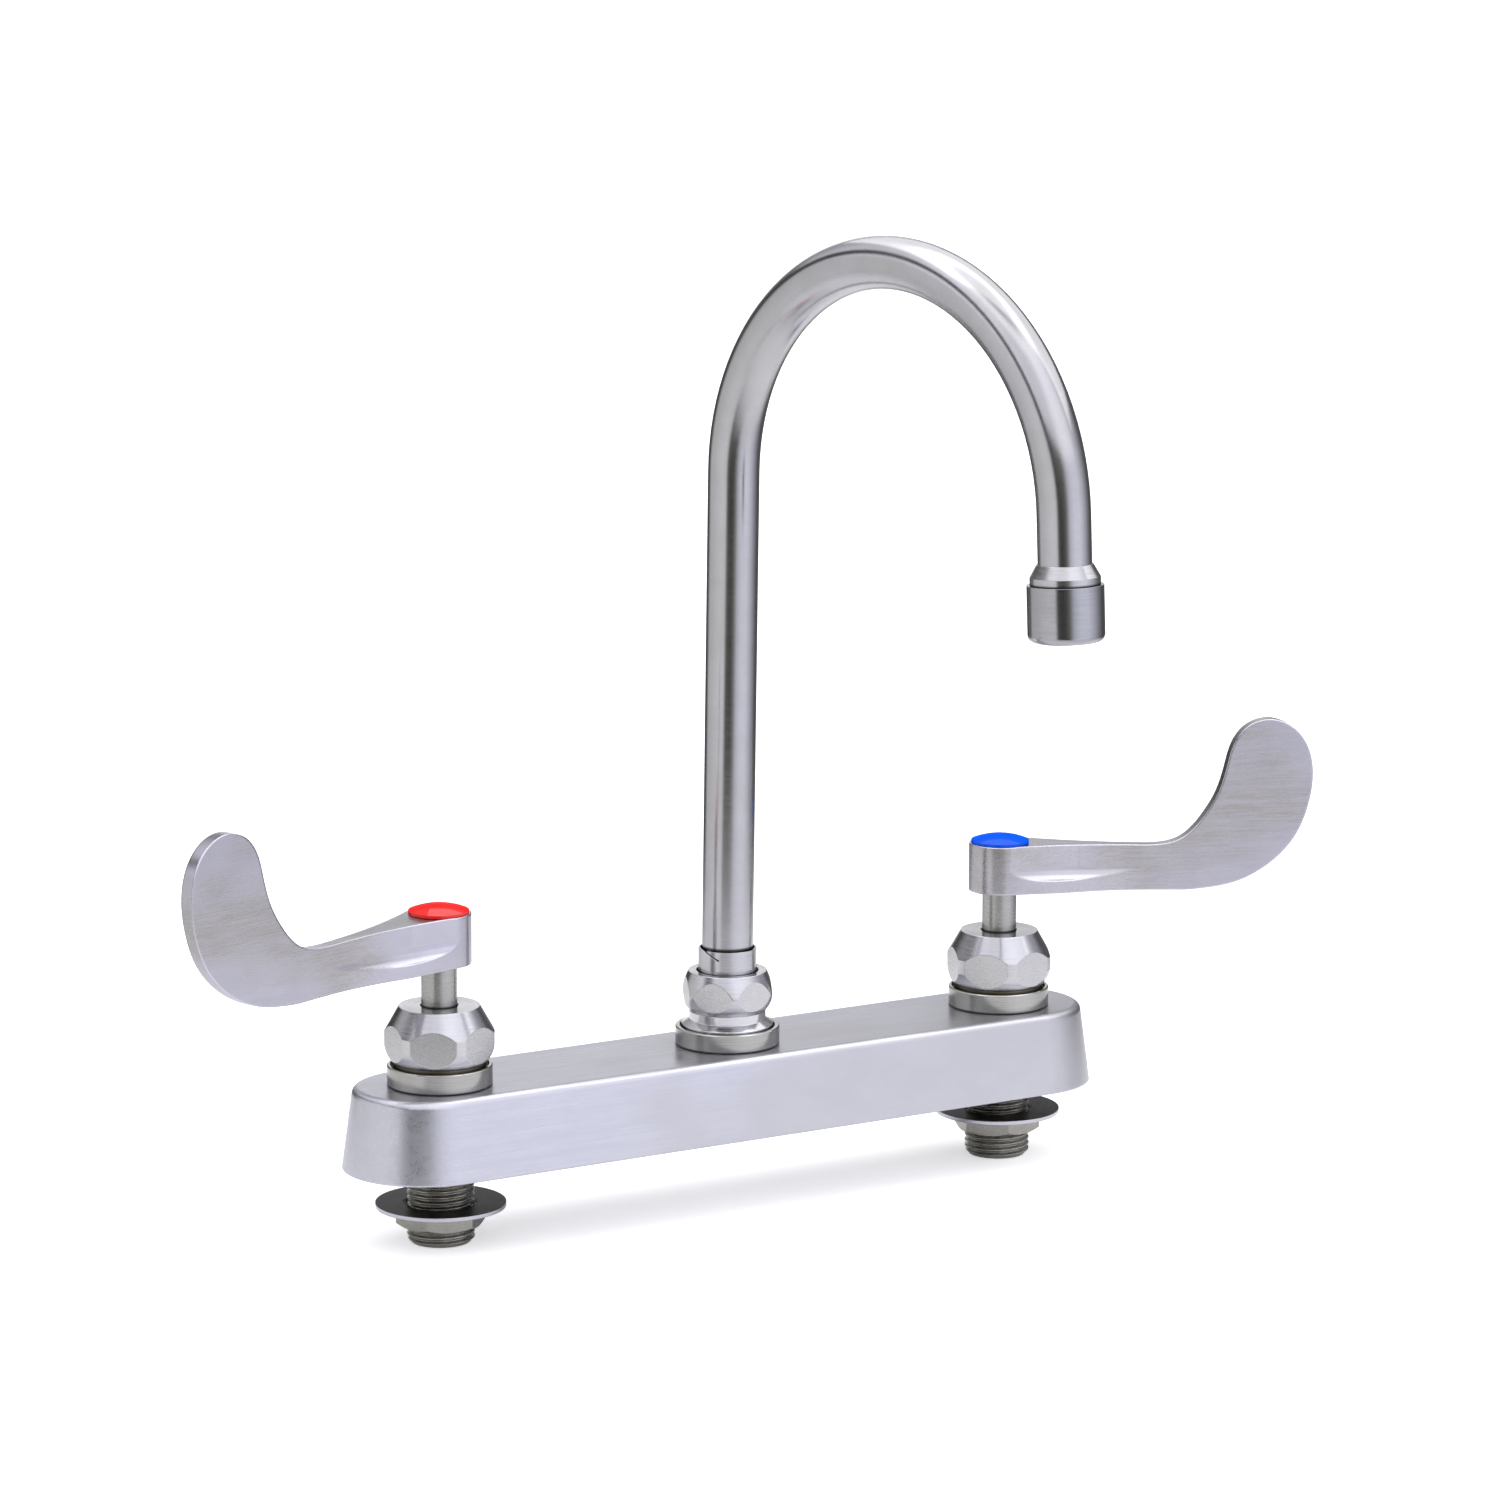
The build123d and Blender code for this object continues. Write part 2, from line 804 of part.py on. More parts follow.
def gooseneck_path():
    """Centre line of the tube: riser, slight lean, great bend and outlet leg."""
    lean = radians(riser_lean)
    half_turn = lean_radius * tan(lean / 2)
    rise = (bend_height - lean_height) / cos(lean)
    with BuildLine(spout_section()) as path:
        Line((0, tube_foot), (0, lean_height - half_turn))
        JernArc((0, lean_height - half_turn), (0, 1), lean_radius, -riser_lean)
        bend_start = (rise * sin(lean), bend_height)
        Line((half_turn * sin(lean), lean_height + half_turn * cos(lean)), bend_start)
        bend = JernArc(bend_start, (sin(lean), cos(lean)), bend_radius, -bend_sweep)
        heading = riser_lean + bend_sweep
        leg = (sin(radians(heading)), cos(radians(heading)))
        bend_end = spout_section().to_local_coords(bend @ 1)
        reach = leg_length + adapter_socket_depth
        Line((bend_end.X, bend_end.Y), (bend_end.X + leg[0] * reach, bend_end.Y + leg[1] * reach))
    return path


def build_tube(path):
    """Gooseneck tube, bent from one length, with a groove for its snap ring."""
    with BuildPart() as tube:
        with BuildSketch(Plane(path.line @ 0, z_dir=path.line % 0)):
            Circle(tube_radius)
            Circle(tube_bore, mode=Mode.SUBTRACT)
        sweep(path=path.line)
        with BuildSketch(Plane.XY.offset(snap_ring_foot)):
            Circle(tube_radius + 1.0)
            Circle(snap_groove_radius, mode=Mode.SUBTRACT)
        extrude(amount=snap_ring_height, mode=Mode.SUBTRACT)
    return tube


def build_snap_ring():
    """Open snap ring that keeps the tube in the post."""
    with BuildPart() as snap_ring:
        with BuildSketch(Plane.XY.offset(snap_ring_foot)):
            Circle(snap_ring_radius)
            Circle(snap_groove_radius + press_gap, mode=Mode.SUBTRACT)
            with BuildLine():
                reach = 2 * snap_ring_radius
                half_gap = radians(snap_ring_gap / 2)
                Polyline(
                    (0, 0),
                    (reach * cos(half_gap), reach * sin(half_gap)),
                    (reach * cos(half_gap), -reach * sin(half_gap)),
                    close=True,
                )
            make_face(mode=Mode.SUBTRACT)
        extrude(amount=snap_ring_height)
    return snap_ring


def outlet_place(path):
    """Plane at the end of the bend whose axis runs down the outlet leg."""
    down = path.line % 1
    end = (path.line @ 1) - down * (leg_length + adapter_socket_depth)
    return Plane(end, x_dir=spout_section().z_dir, z_dir=down)


def build_adapter(place):
    """Outlet adapter brazed on the tube: cone, plain band and aerator thread."""
    cone_top = leg_length
    cone_foot = cone_top + adapter_cone_length
    band_foot = cone_foot + adapter_band_length
    thread_foot = band_foot + adapter_thread_length
    socket_foot = cone_top + adapter_socket_depth + seat_gap
    outline = [
        (tube_radius + press_gap, cone_top),
        (tube_radius + adapter_lip, cone_top),
        (adapter_radius, cone_foot),
        (adapter_radius, band_foot),
        (adapter_radius - running_fit, band_foot),
        (adapter_radius - running_fit, thread_foot),
        (tube_bore, thread_foot),
        (tube_bore, socket_foot),
        (tube_radius + press_gap, socket_foot),
    ]
    return turned(place, outline)


def shell_top():
    """Distance down the outlet leg at which the aerator shell begins."""
    return leg_length + adapter_cone_length + adapter_band_length


def build_shell(place):
    """Aerator shell: threaded cup with a rounded foot and an inner lip."""
    top = shell_top()
    foot = top + shell_length
    inner = adapter_radius
    lip_radius = inner - shell_lip_width
    outline = [
        (shell_radius, top),
        (shell_radius, foot),
        (lip_radius, foot),
        (lip_radius, foot - shell_lip_height),
        (inner, foot - shell_lip_height),
        (inner, top),
    ]
    cup = turned(place, outline)
    with BuildPart() as shell:
        add(cup.part)
        foot_edges = shell.edges().filter_by(GeomType.CIRCLE).group_by(SortBy.RADIUS)[-1]
        fillet(foot_edges.sort_by(Axis(place.origin, place.z_dir))[-1], radius=shell_round)
    return shell


def build_insert(place):
    """Aerator insert: a ring that carries a perforated flow plate."""
    gasket_foot = shell_top() + adapter_thread_length + gasket_thickness
    foot = shell_top() + shell_length - shell_lip_height
    radius = adapter_radius - seat_gap
    with BuildPart() as insert:
        with BuildSketch(raised(place, gasket_foot)):
            Circle(radius)
            Circle(radius - insert_ring_width, mode=Mode.SUBTRACT)
        extrude(amount=foot - gasket_foot)
        with BuildSketch(raised(place, foot - insert_plate_thickness)):
            Circle(radius - insert_ring_width / 2)
            Circle(insert_hole_radius, mode=Mode.SUBTRACT)
            for count, spread in ((6, 0.34), (12, 0.66)):
                with PolarLocations(spread * radius, count):
                    Circle(insert_hole_radius, mode=Mode.SUBTRACT)
        extrude(amount=insert_plate_thickness)
    return insert


def build_spout_orings():
    """The pair of O-rings in the post's grooves."""
    inner = tube_radius + running_fit
    outer = inner + oring_section - press_gap
    lower, upper = (build_torus(spout_place, height, inner, outer) for height in oring_heights())
    with BuildPart() as orings:
        add(lower.part)
        add(upper.part)
    return orings


body = build_body()
finish(body, "body")

lever = build_lever()

# Hot and cold valves: side, axis, bonnet turn, lever azimuth, washer top and locknut turn
valves = (
    ("hot", hot_place, hot_bonnet_turn, hot_lever_azimuth, -11.86, 44.4),
    ("cold", cold_place, cold_bonnet_turn, cold_lever_azimuth, -9.0, 12.0),
)
for side, place, bonnet_turn, azimuth, washer_top, locknut_turn in valves:
    finish(build_shank(place), f"{side}_shank")
    washer_foot = washer_top - washer_thickness
    washer = ring(place, washer_foot, washer_thickness, washer_radius, washer_bore)
    finish(washer, f"{side}_mounting_washer")
    finish(build_locknut(place, washer_foot, locknut_turn), f"{side}_locknut")
    seal = ring(place, seat_height, seal_height, seal_radius, seal_bore)
    finish(seal, f"{side}_seat_seal")
    stator = build_disc(place, stator_foot, stator_thickness, disc_radius, azimuth)
    finish(stator, f"{side}_fixed_disc")
    finish(build_rotor(place, azimuth), f"{side}_moving_disc")
    finish(build_cartridge(place), f"{side}_cartridge")
    collar = build_collar(place, collar_radius, collar_height, collar_lip, valve_bore + seat_gap)
    finish(collar, f"{side}_valve_collar")
    finish(build_bonnet(place, bonnet_turn), f"{side}_bonnet_nut")
    finish(build_stem(place, azimuth), f"{side}_stem")
    groove_radius = stem_radius - stem_groove_depth
    groove_middle = stem_groove_height + stem_groove_width / 2
    stem_oring = build_torus(place, groove_middle, groove_radius + press_gap, stem_radius)
    finish(stem_oring, f"{side}_stem_oring")
    finish(place_lever(lever, place, azimuth), f"{side}_handle")
    finish(build_screw(place, azimuth), f"{side}_handle_screw")
    finish(build_button(place), f"{side}_index_button")

spout_collar = build_collar(
    spout_place,
    spout_collar_radius,
    spout_collar_height,
    spout_collar_lip,
    post_spigot_radius + 2 * seat_gap,
)
finish(spout_collar, "spout_collar")
finish(build_post(), "spout_post")
finish(build_spout_nut(), "spout_nut")
finish(build_sleeve(), "spout_sleeve")
finish(build_spout_orings(), "spout_orings")
thrust_washer = ring(
    spout_place,
    counterbore_foot,
    thrust_washer_thickness,
    post_counterbore_radius - seat_gap,
    tube_radius + loose_fit,
)
finish(thrust_washer, "spout_thrust_washer")

path = gooseneck_path()
outlet = outlet_place(path)
finish(build_tube(path), "gooseneck_tube")
finish(build_snap_ring(), "spout_snap_ring")
finish(build_adapter(outlet), "outlet_adapter")
finish(build_shell(outlet), "aerator_shell")
gasket = ring(
    outlet,
    shell_top() + adapter_thread_length,
    gasket_thickness,
    adapter_radius - seat_gap,
    gasket_bore,
)
finish(gasket, "aerator_gasket")
finish(build_insert(outlet), "aerator_insert")
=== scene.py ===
"""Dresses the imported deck-mount gooseneck faucet: steel finishes, cut threads, camera and studio."""

import json
import logging
import math
from dataclasses import dataclass
from enum import Enum
from typing import Optional, Sequence, Union

import bpy
from mathutils import Matrix, Vector


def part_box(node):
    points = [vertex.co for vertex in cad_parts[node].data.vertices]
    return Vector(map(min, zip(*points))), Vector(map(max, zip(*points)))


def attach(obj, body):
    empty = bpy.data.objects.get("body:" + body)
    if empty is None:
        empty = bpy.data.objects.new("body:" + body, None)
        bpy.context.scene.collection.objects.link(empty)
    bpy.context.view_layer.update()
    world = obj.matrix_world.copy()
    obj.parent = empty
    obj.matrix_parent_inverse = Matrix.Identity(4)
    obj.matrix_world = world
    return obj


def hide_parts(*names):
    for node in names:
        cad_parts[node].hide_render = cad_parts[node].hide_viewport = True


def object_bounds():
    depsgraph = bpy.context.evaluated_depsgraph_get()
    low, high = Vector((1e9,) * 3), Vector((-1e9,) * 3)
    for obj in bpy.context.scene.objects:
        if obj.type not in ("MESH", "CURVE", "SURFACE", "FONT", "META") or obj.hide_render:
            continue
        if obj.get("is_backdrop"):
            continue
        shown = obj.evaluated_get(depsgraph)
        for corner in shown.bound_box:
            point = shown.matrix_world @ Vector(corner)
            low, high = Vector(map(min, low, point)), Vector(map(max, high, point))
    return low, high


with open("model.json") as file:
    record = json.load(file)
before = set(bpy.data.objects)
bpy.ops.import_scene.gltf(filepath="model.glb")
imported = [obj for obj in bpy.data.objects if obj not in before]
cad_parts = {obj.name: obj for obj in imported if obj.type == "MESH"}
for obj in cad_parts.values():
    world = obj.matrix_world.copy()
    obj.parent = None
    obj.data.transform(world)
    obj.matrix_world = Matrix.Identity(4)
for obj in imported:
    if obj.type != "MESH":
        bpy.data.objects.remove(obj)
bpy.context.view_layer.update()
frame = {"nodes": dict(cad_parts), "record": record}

LOG = logging.getLogger("faucet")
SHARP_EDGE = math.radians(38)

Colour = tuple[float, float, float]
Point = tuple[float, float, float]
Band = tuple[float, float]
Node = bpy.types.Node
Socket = bpy.types.NodeSocket
Tree = bpy.types.NodeTree
Material = bpy.types.Material
Piece = bpy.types.Object
Value = Union[float, Sequence[float], Socket]


class Side(Enum):
    """The two valves, named by the water that they let through."""

    HOT = "hot"
    COLD = "cold"


class Grain(Enum):
    """The way a surface was worked last."""

    BRUSHED = "brushed"
    TURNED = "turned"


@dataclass
class NodeSheet:
    """A shader node tree that is being drawn, with short calls for its nodes."""

    tree: Tree

    def add(self, kind: str, **settings: object) -> Node:
        """Adds a node.

        Args:
            kind: The node's type name without the leading "ShaderNode".
            **settings: Attributes to set on the node.

        Returns:
            The new node.
        """
        node = self.tree.nodes.new(kind if kind.startswith("Node") else "ShaderNode" + kind)
        for name, value in settings.items():
            setattr(node, name, value)
        return node

    def feed(self, socket: Socket, value: Value) -> None:
        """Gives an input socket a constant or a link.

        Args:
            socket: The input.
            value: A number, a colour or vector, or another node's output.
        """
        if isinstance(value, bpy.types.NodeSocket):
            self.tree.links.new(value, socket)
        elif isinstance(value, (int, float)):
            socket.default_value = value
        else:
            size = len(socket.default_value)
            socket.default_value = (tuple(value) + (1.0,))[:size]

    def feed_all(self, node: Node, *values: Value) -> Node:
        """Gives a node's first inputs their values, in order.

        Args:
            node: The node.
            *values: The values.

        Returns:
            The same node.
        """
        for socket, value in zip(node.inputs, values):
            self.feed(socket, value)
        return node

    def wire(self, node: Node, **inputs: Value) -> Node:
        """Gives a node's inputs their values by name.

        Args:
            node: The node.
            **inputs: The values, with underscores for the spaces in a name.

        Returns:
            The same node.
        """
        for name, value in inputs.items():
            self.feed(node.inputs[name.replace("_", " ")], value)
        return node

    def math(self, operation: str, *operands: Value, clamp: bool = False) -> Socket:
        """Adds a Math node and returns its output.

        Args:
            operation: Blender's name of the operation.
            *operands: As many operands as the operation takes.
            clamp: Whether the result is kept between 0 and 1.

        Returns:
            The node's output.
        """
        node = self.add("Math", operation=operation, use_clamp=clamp)
        return self.feed_all(node, *operands).outputs[0]

    def vector(self, operation: str, *operands: Value) -> Node:
        """Adds a Vector Math node and returns it.

        Args:
            operation: Blender's name of the operation.
            *operands: As many vectors as the operation takes.

        Returns:
            The node, whose outputs are Vector and Value.
        """
        return self.feed_all(self.add("VectorMath", operation=operation), *operands)

    def split(self, vector: Value) -> list[Socket]:
        """The three parts of a vector."""
        return list(self.feed_all(self.add("SeparateXYZ"), vector).outputs)

    def gather(self, *parts: Value) -> Socket:
        """The vector with three parts."""
        return self.feed_all(self.add("CombineXYZ"), *parts).outputs[0]

    def axis_distance(self, parts: Sequence[Socket]) -> Socket:
        """Distance from the local Z axis, for a position that was split."""
        squares = [self.math("POWER", part, 2.0) for part in parts[:2]]
        return self.math("SQRT", self.math("ADD", *squares))

    def remap(self, value: Value, source: Sequence[Value], result: Band = (0.0, 1.0)) -> Socket:
        """Maps a range of values to another with soft ends.

        Args:
            value: The value to map.
            source: The start and the end of the source range.
            result: The results there.

        Returns:
            The mapped value.
        """
        node = self.add("MapRange", interpolation_type="SMOOTHSTEP", clamp=True)
        return self.feed_all(node, value, *source, *result).outputs[0]

    def blend(self, share: Value, low: Value, high: Value) -> Socket:
        """Mixes two colours.

        Args:
            share: How much of high there is, from 0 to 1.
            low: The first colour.
            high: The second colour.

        Returns:
            The mixed colour.
        """
        node = self.add("Mix", data_type="RGBA", blend_type="MIX", clamp_factor=True)
        self.feed(node.inputs[0], share)
        self.feed(node.inputs[6], low)
        self.feed(node.inputs[7], high)
        return node.outputs[2]

    def noise(
        self, where: Value, scale: Value, detail: float, rough: float, depth: Optional[Value] = None
    ) -> Socket:
        """Adds a noise texture.

        Args:
            where: The position that it is read at.
            scale: Its scale.
            detail: The number of finer layers.
            rough: How strong the finer layers are.
            depth: A fourth coordinate, where there is one.

        Returns:
            The noise value, near 0.5 on average.
        """
        node = self.add("TexNoise", noise_dimensions="3D" if depth is None else "4D")
        self.wire(node, Vector=where, Scale=scale, Detail=detail, Roughness=rough)
        if depth is not None:
            self.feed(node.inputs["W"], depth)
        return node.outputs[0]

    def place(self, tree: Tree, **inputs: Value) -> Node:
        """Places a node group.

        Args:
            tree: The group's tree.
            **inputs: Its inputs by name, with underscores for spaces.

        Returns:
            The group node.
        """
        return self.wire(self.add("Group", node_tree=tree), **inputs)

    def rise(self, normal: str) -> Socket:
        """How far the faces look up, by the named normal: 0 when upright and 1 on a level top."""
        return self.split(self.add("NewGeometry").outputs[normal])[2]

    def bump(self, shader: Node, depth: float, height: Value, normal: Socket) -> None:
        """Gives a shader a fine relief over its eased edges.

        Args:
            shader: The Principled shader.
            depth: Height of the relief, in metres.
            height: The relief, from 0 to 1.
            normal: The normal that it starts from.
        """
        node = self.wire(self.add("Bump"), Strength=1.0, Distance=depth, Height=height, Normal=normal)
        self.feed(shader.inputs["Normal"], node.outputs[0])


class EffectGroups:
    """The effects that several finishes share, each built once as a node group."""

    # Noise values over which a streak, a patch and a cloud come up
    STREAK_BAND: Band = (0.34, 0.66)
    PATCH_BAND: Band = (0.42, 0.62)
    CLOUD_BAND: Band = (0.3, 0.7)
    # Scale of the broad strokes among the fine ones, and the share of each
    BROAD_SCALE = 0.23
    FINE_SHARE = 0.6
    BROAD_SHARE = 0.4
    # How much finer the clouds are than the patches
    CLOUD_FINENESS = 5.0
    # Least radius on the axis of a turned piece, in metres
    LEAST_RADIUS = 1e-5
    # Samples of a rounded edge, and how far its normal turns: cosines at a flat face and at a full edge
    EDGE_SAMPLES = 8
    EDGE_BAND: Band = (0.99, 0.85)
    # Size of a pit, as shares of its cell
    PIT_BAND: Band = (0.06, 0.14)
    # Heights over which the painted shadow line at a joint fades, and width of the painted shade rim round
    # a bore, in metres
    JOINT_BAND: Band = (0.0001, 0.0009)
    RIM_WIDTH = 0.0002

    def __init__(self) -> None:
        """Builds all the groups."""
        self.brushed = self.brushed_grain()
        self.turned = self.turned_grain()
        self.mottle = self.handling_mottle()
        self.edge = self.eased_edge()
        self.specks = self.fine_specks()
        self.joint = self.joint_shade()

    @staticmethod
    def start(name: str, inputs: str, outputs: str) -> tuple[NodeSheet, Node, Node]:
        """Starts a node group. A position or normal is a vector, and any other socket a number.

        Args:
            name: The group's name.
            inputs: Names of its inputs, with commas between them.
            outputs: Names of its outputs.

        Returns:
            The sheet, the group's input node and its output node.
        """
        tree = bpy.data.node_groups.new(name, "ShaderNodeTree")
        for side, labels in (("INPUT", inputs), ("OUTPUT", outputs)):
            for label in labels.split(", "):
                kind = "Vector" if label in ("Position", "Normal") else "Float"
                tree.interface.new_socket(label, in_out=side, socket_type="NodeSocket" + kind)
        sheet = NodeSheet(tree)
        return sheet, sheet.add("NodeGroupInput"), sheet.add("NodeGroupOutput")

    def brushed_grain(self) -> Tree:
        """Straight strokes along the local X axis, short and overlapping."""
        sheet, given, made = self.start(
            "Brushed grain", "Position, Stroke Rate, Line Rate", "Streak, Height"
        )
        lines = given.outputs["Line Rate"]
        rates = sheet.gather(given.outputs["Stroke Rate"], lines, lines)
        where = sheet.vector("MULTIPLY", given.outputs["Position"], rates).outputs[0]
        fine = sheet.math("MULTIPLY", sheet.noise(where, 1.0, 2.0, 0.5), self.FINE_SHARE)
        broad = sheet.math("MULTIPLY", sheet.noise(where, self.BROAD_SCALE, 2.0, 0.6), self.BROAD_SHARE)
        both = sheet.math("ADD", fine, broad)
        sheet.wire(made, Streak=sheet.remap(both, self.STREAK_BAND), Height=both)
        return sheet.tree

    def turned_grain(self) -> Tree:
        """Rings round the local Z axis, as a lathe and a polishing belt leave them."""
        sheet, given, made = self.start("Turned grain", "Position, Line Rate, Drift Rate", "Streak, Height")
        lines, drift = given.outputs["Line Rate"], given.outputs["Drift Rate"]
        parts = sheet.split(given.outputs["Position"])
        radius = sheet.axis_distance(parts)
        safe = sheet.math("MAXIMUM", radius, self.LEAST_RADIUS)
        turn_x, turn_y = (sheet.math("DIVIDE", part, safe) for part in parts[:2])
        around = sheet.gather(
            sheet.math("MULTIPLY", turn_x, drift),
            sheet.math("MULTIPLY", turn_y, drift),
            sheet.math("MULTIPLY", parts[2], lines),
        )
        fine = sheet.noise(around, 1.0, 2.0, 0.55, sheet.math("MULTIPLY", radius, lines))
        sheet.wire(made, Streak=sheet.remap(fine, self.STREAK_BAND), Height=fine)
        return sheet.tree

    def handling_mottle(self) -> Tree:
        """Broad soft patches, where the metal was handled and wiped."""
        sheet, given, made = self.start("Handling mottle", "Position, Patch Rate", "Patches, Clouds")
        broad = sheet.noise(given.outputs["Position"], given.outputs["Patch Rate"], 2.0, 0.5)
        finer = sheet.math("MULTIPLY", given.outputs["Patch Rate"], self.CLOUD_FINENESS)
        small = sheet.noise(given.outputs["Position"], finer, 3.0, 0.6)
        patches, clouds = sheet.remap(broad, self.PATCH_BAND), sheet.remap(small, self.CLOUD_BAND)
        sheet.wire(made, Patches=patches, Clouds=clouds)
        return sheet.tree

    def eased_edge(self) -> Tree:
        """Edges rounded in the shading, and a mask of where they are."""
        sheet, given, made = self.start("Eased edge", "Radius", "Normal, Edge")
        bevel = sheet.add("Bevel", samples=self.EDGE_SAMPLES)
        sheet.feed(bevel.inputs["Radius"], given.outputs["Radius"])
        flat = sheet.add("NewGeometry")
        facing = sheet.vector("DOT_PRODUCT", bevel.outputs[0], flat.outputs["Normal"]).outputs["Value"]
        sheet.wire(made, Normal=bevel.outputs[0], Edge=sheet.remap(facing, self.EDGE_BAND))
        return sheet.tree

    def fine_specks(self) -> Tree:
        """Sparse tiny pits in cast and worked metal."""
        sheet, given, made = self.start("Fine specks", "Position, Rate, Share", "Speck")
        cell = sheet.add("TexVoronoi", feature="F1")
        sheet.wire(cell, Vector=given.outputs["Position"], Scale=given.outputs["Rate"])
        near = sheet.remap(cell.outputs["Distance"], self.PIT_BAND, (1.0, 0.0))
        chance = sheet.feed_all(sheet.add("SeparateColor"), cell.outputs["Color"])
        picked = sheet.math("LESS_THAN", chance.outputs[0], given.outputs["Share"])
        sheet.feed(made.inputs["Speck"], sheet.math("MULTIPLY", near, picked))
        return sheet.tree

    def joint_shade(self) -> Tree:
        """Painted shade: a dark line at the height of a joint, and dark in the gap round a piece that
        passes through, where shade falls.
        """
        sheet, given, made = self.start("Painted joint shade", "Position, Foot, Bore", "Shade")
        parts = sheet.split(given.outputs["Position"])
        off = sheet.math("ABSOLUTE", sheet.math("SUBTRACT", parts[2], given.outputs["Foot"]))
        standing = sheet.remap(off, self.JOINT_BAND, (1.0, 0.0))
        bore = given.outputs["Bore"]
        rim = sheet.math("SUBTRACT", bore, self.RIM_WIDTH)
        inside = sheet.remap(sheet.axis_distance(parts), (rim, bore), (1.0, 0.0))
        sheet.feed(made.inputs["Shade"], sheet.math("MAXIMUM", standing, inside))
        return sheet.tree


def scaled(level: float, tint: Colour) -> Colour:
    """A tint at a brightness."""
    return tuple(level * channel for channel in tint)


@dataclass(frozen=True)
class Seat:
    """The local frame of a piece, in which its grain runs.

    Attributes:
        name: The word that tells this seat's materials apart.
        centre: The local origin, in metres.
        turn: The local frame's Euler angles, in radians.
        foot: Height of the joint that the piece stands on, over the local origin, where a painted shadow
            line runs.
        bore: Radius of the hole that another piece passes through, inside which painted shade darkens the
            gap.
    """

    name: str
    centre: Point = (0.0, 0.0, 0.0)
    turn: Point = (0.0, 0.0, 0.0)
    foot: float = -1.0
    bore: float = 0.0


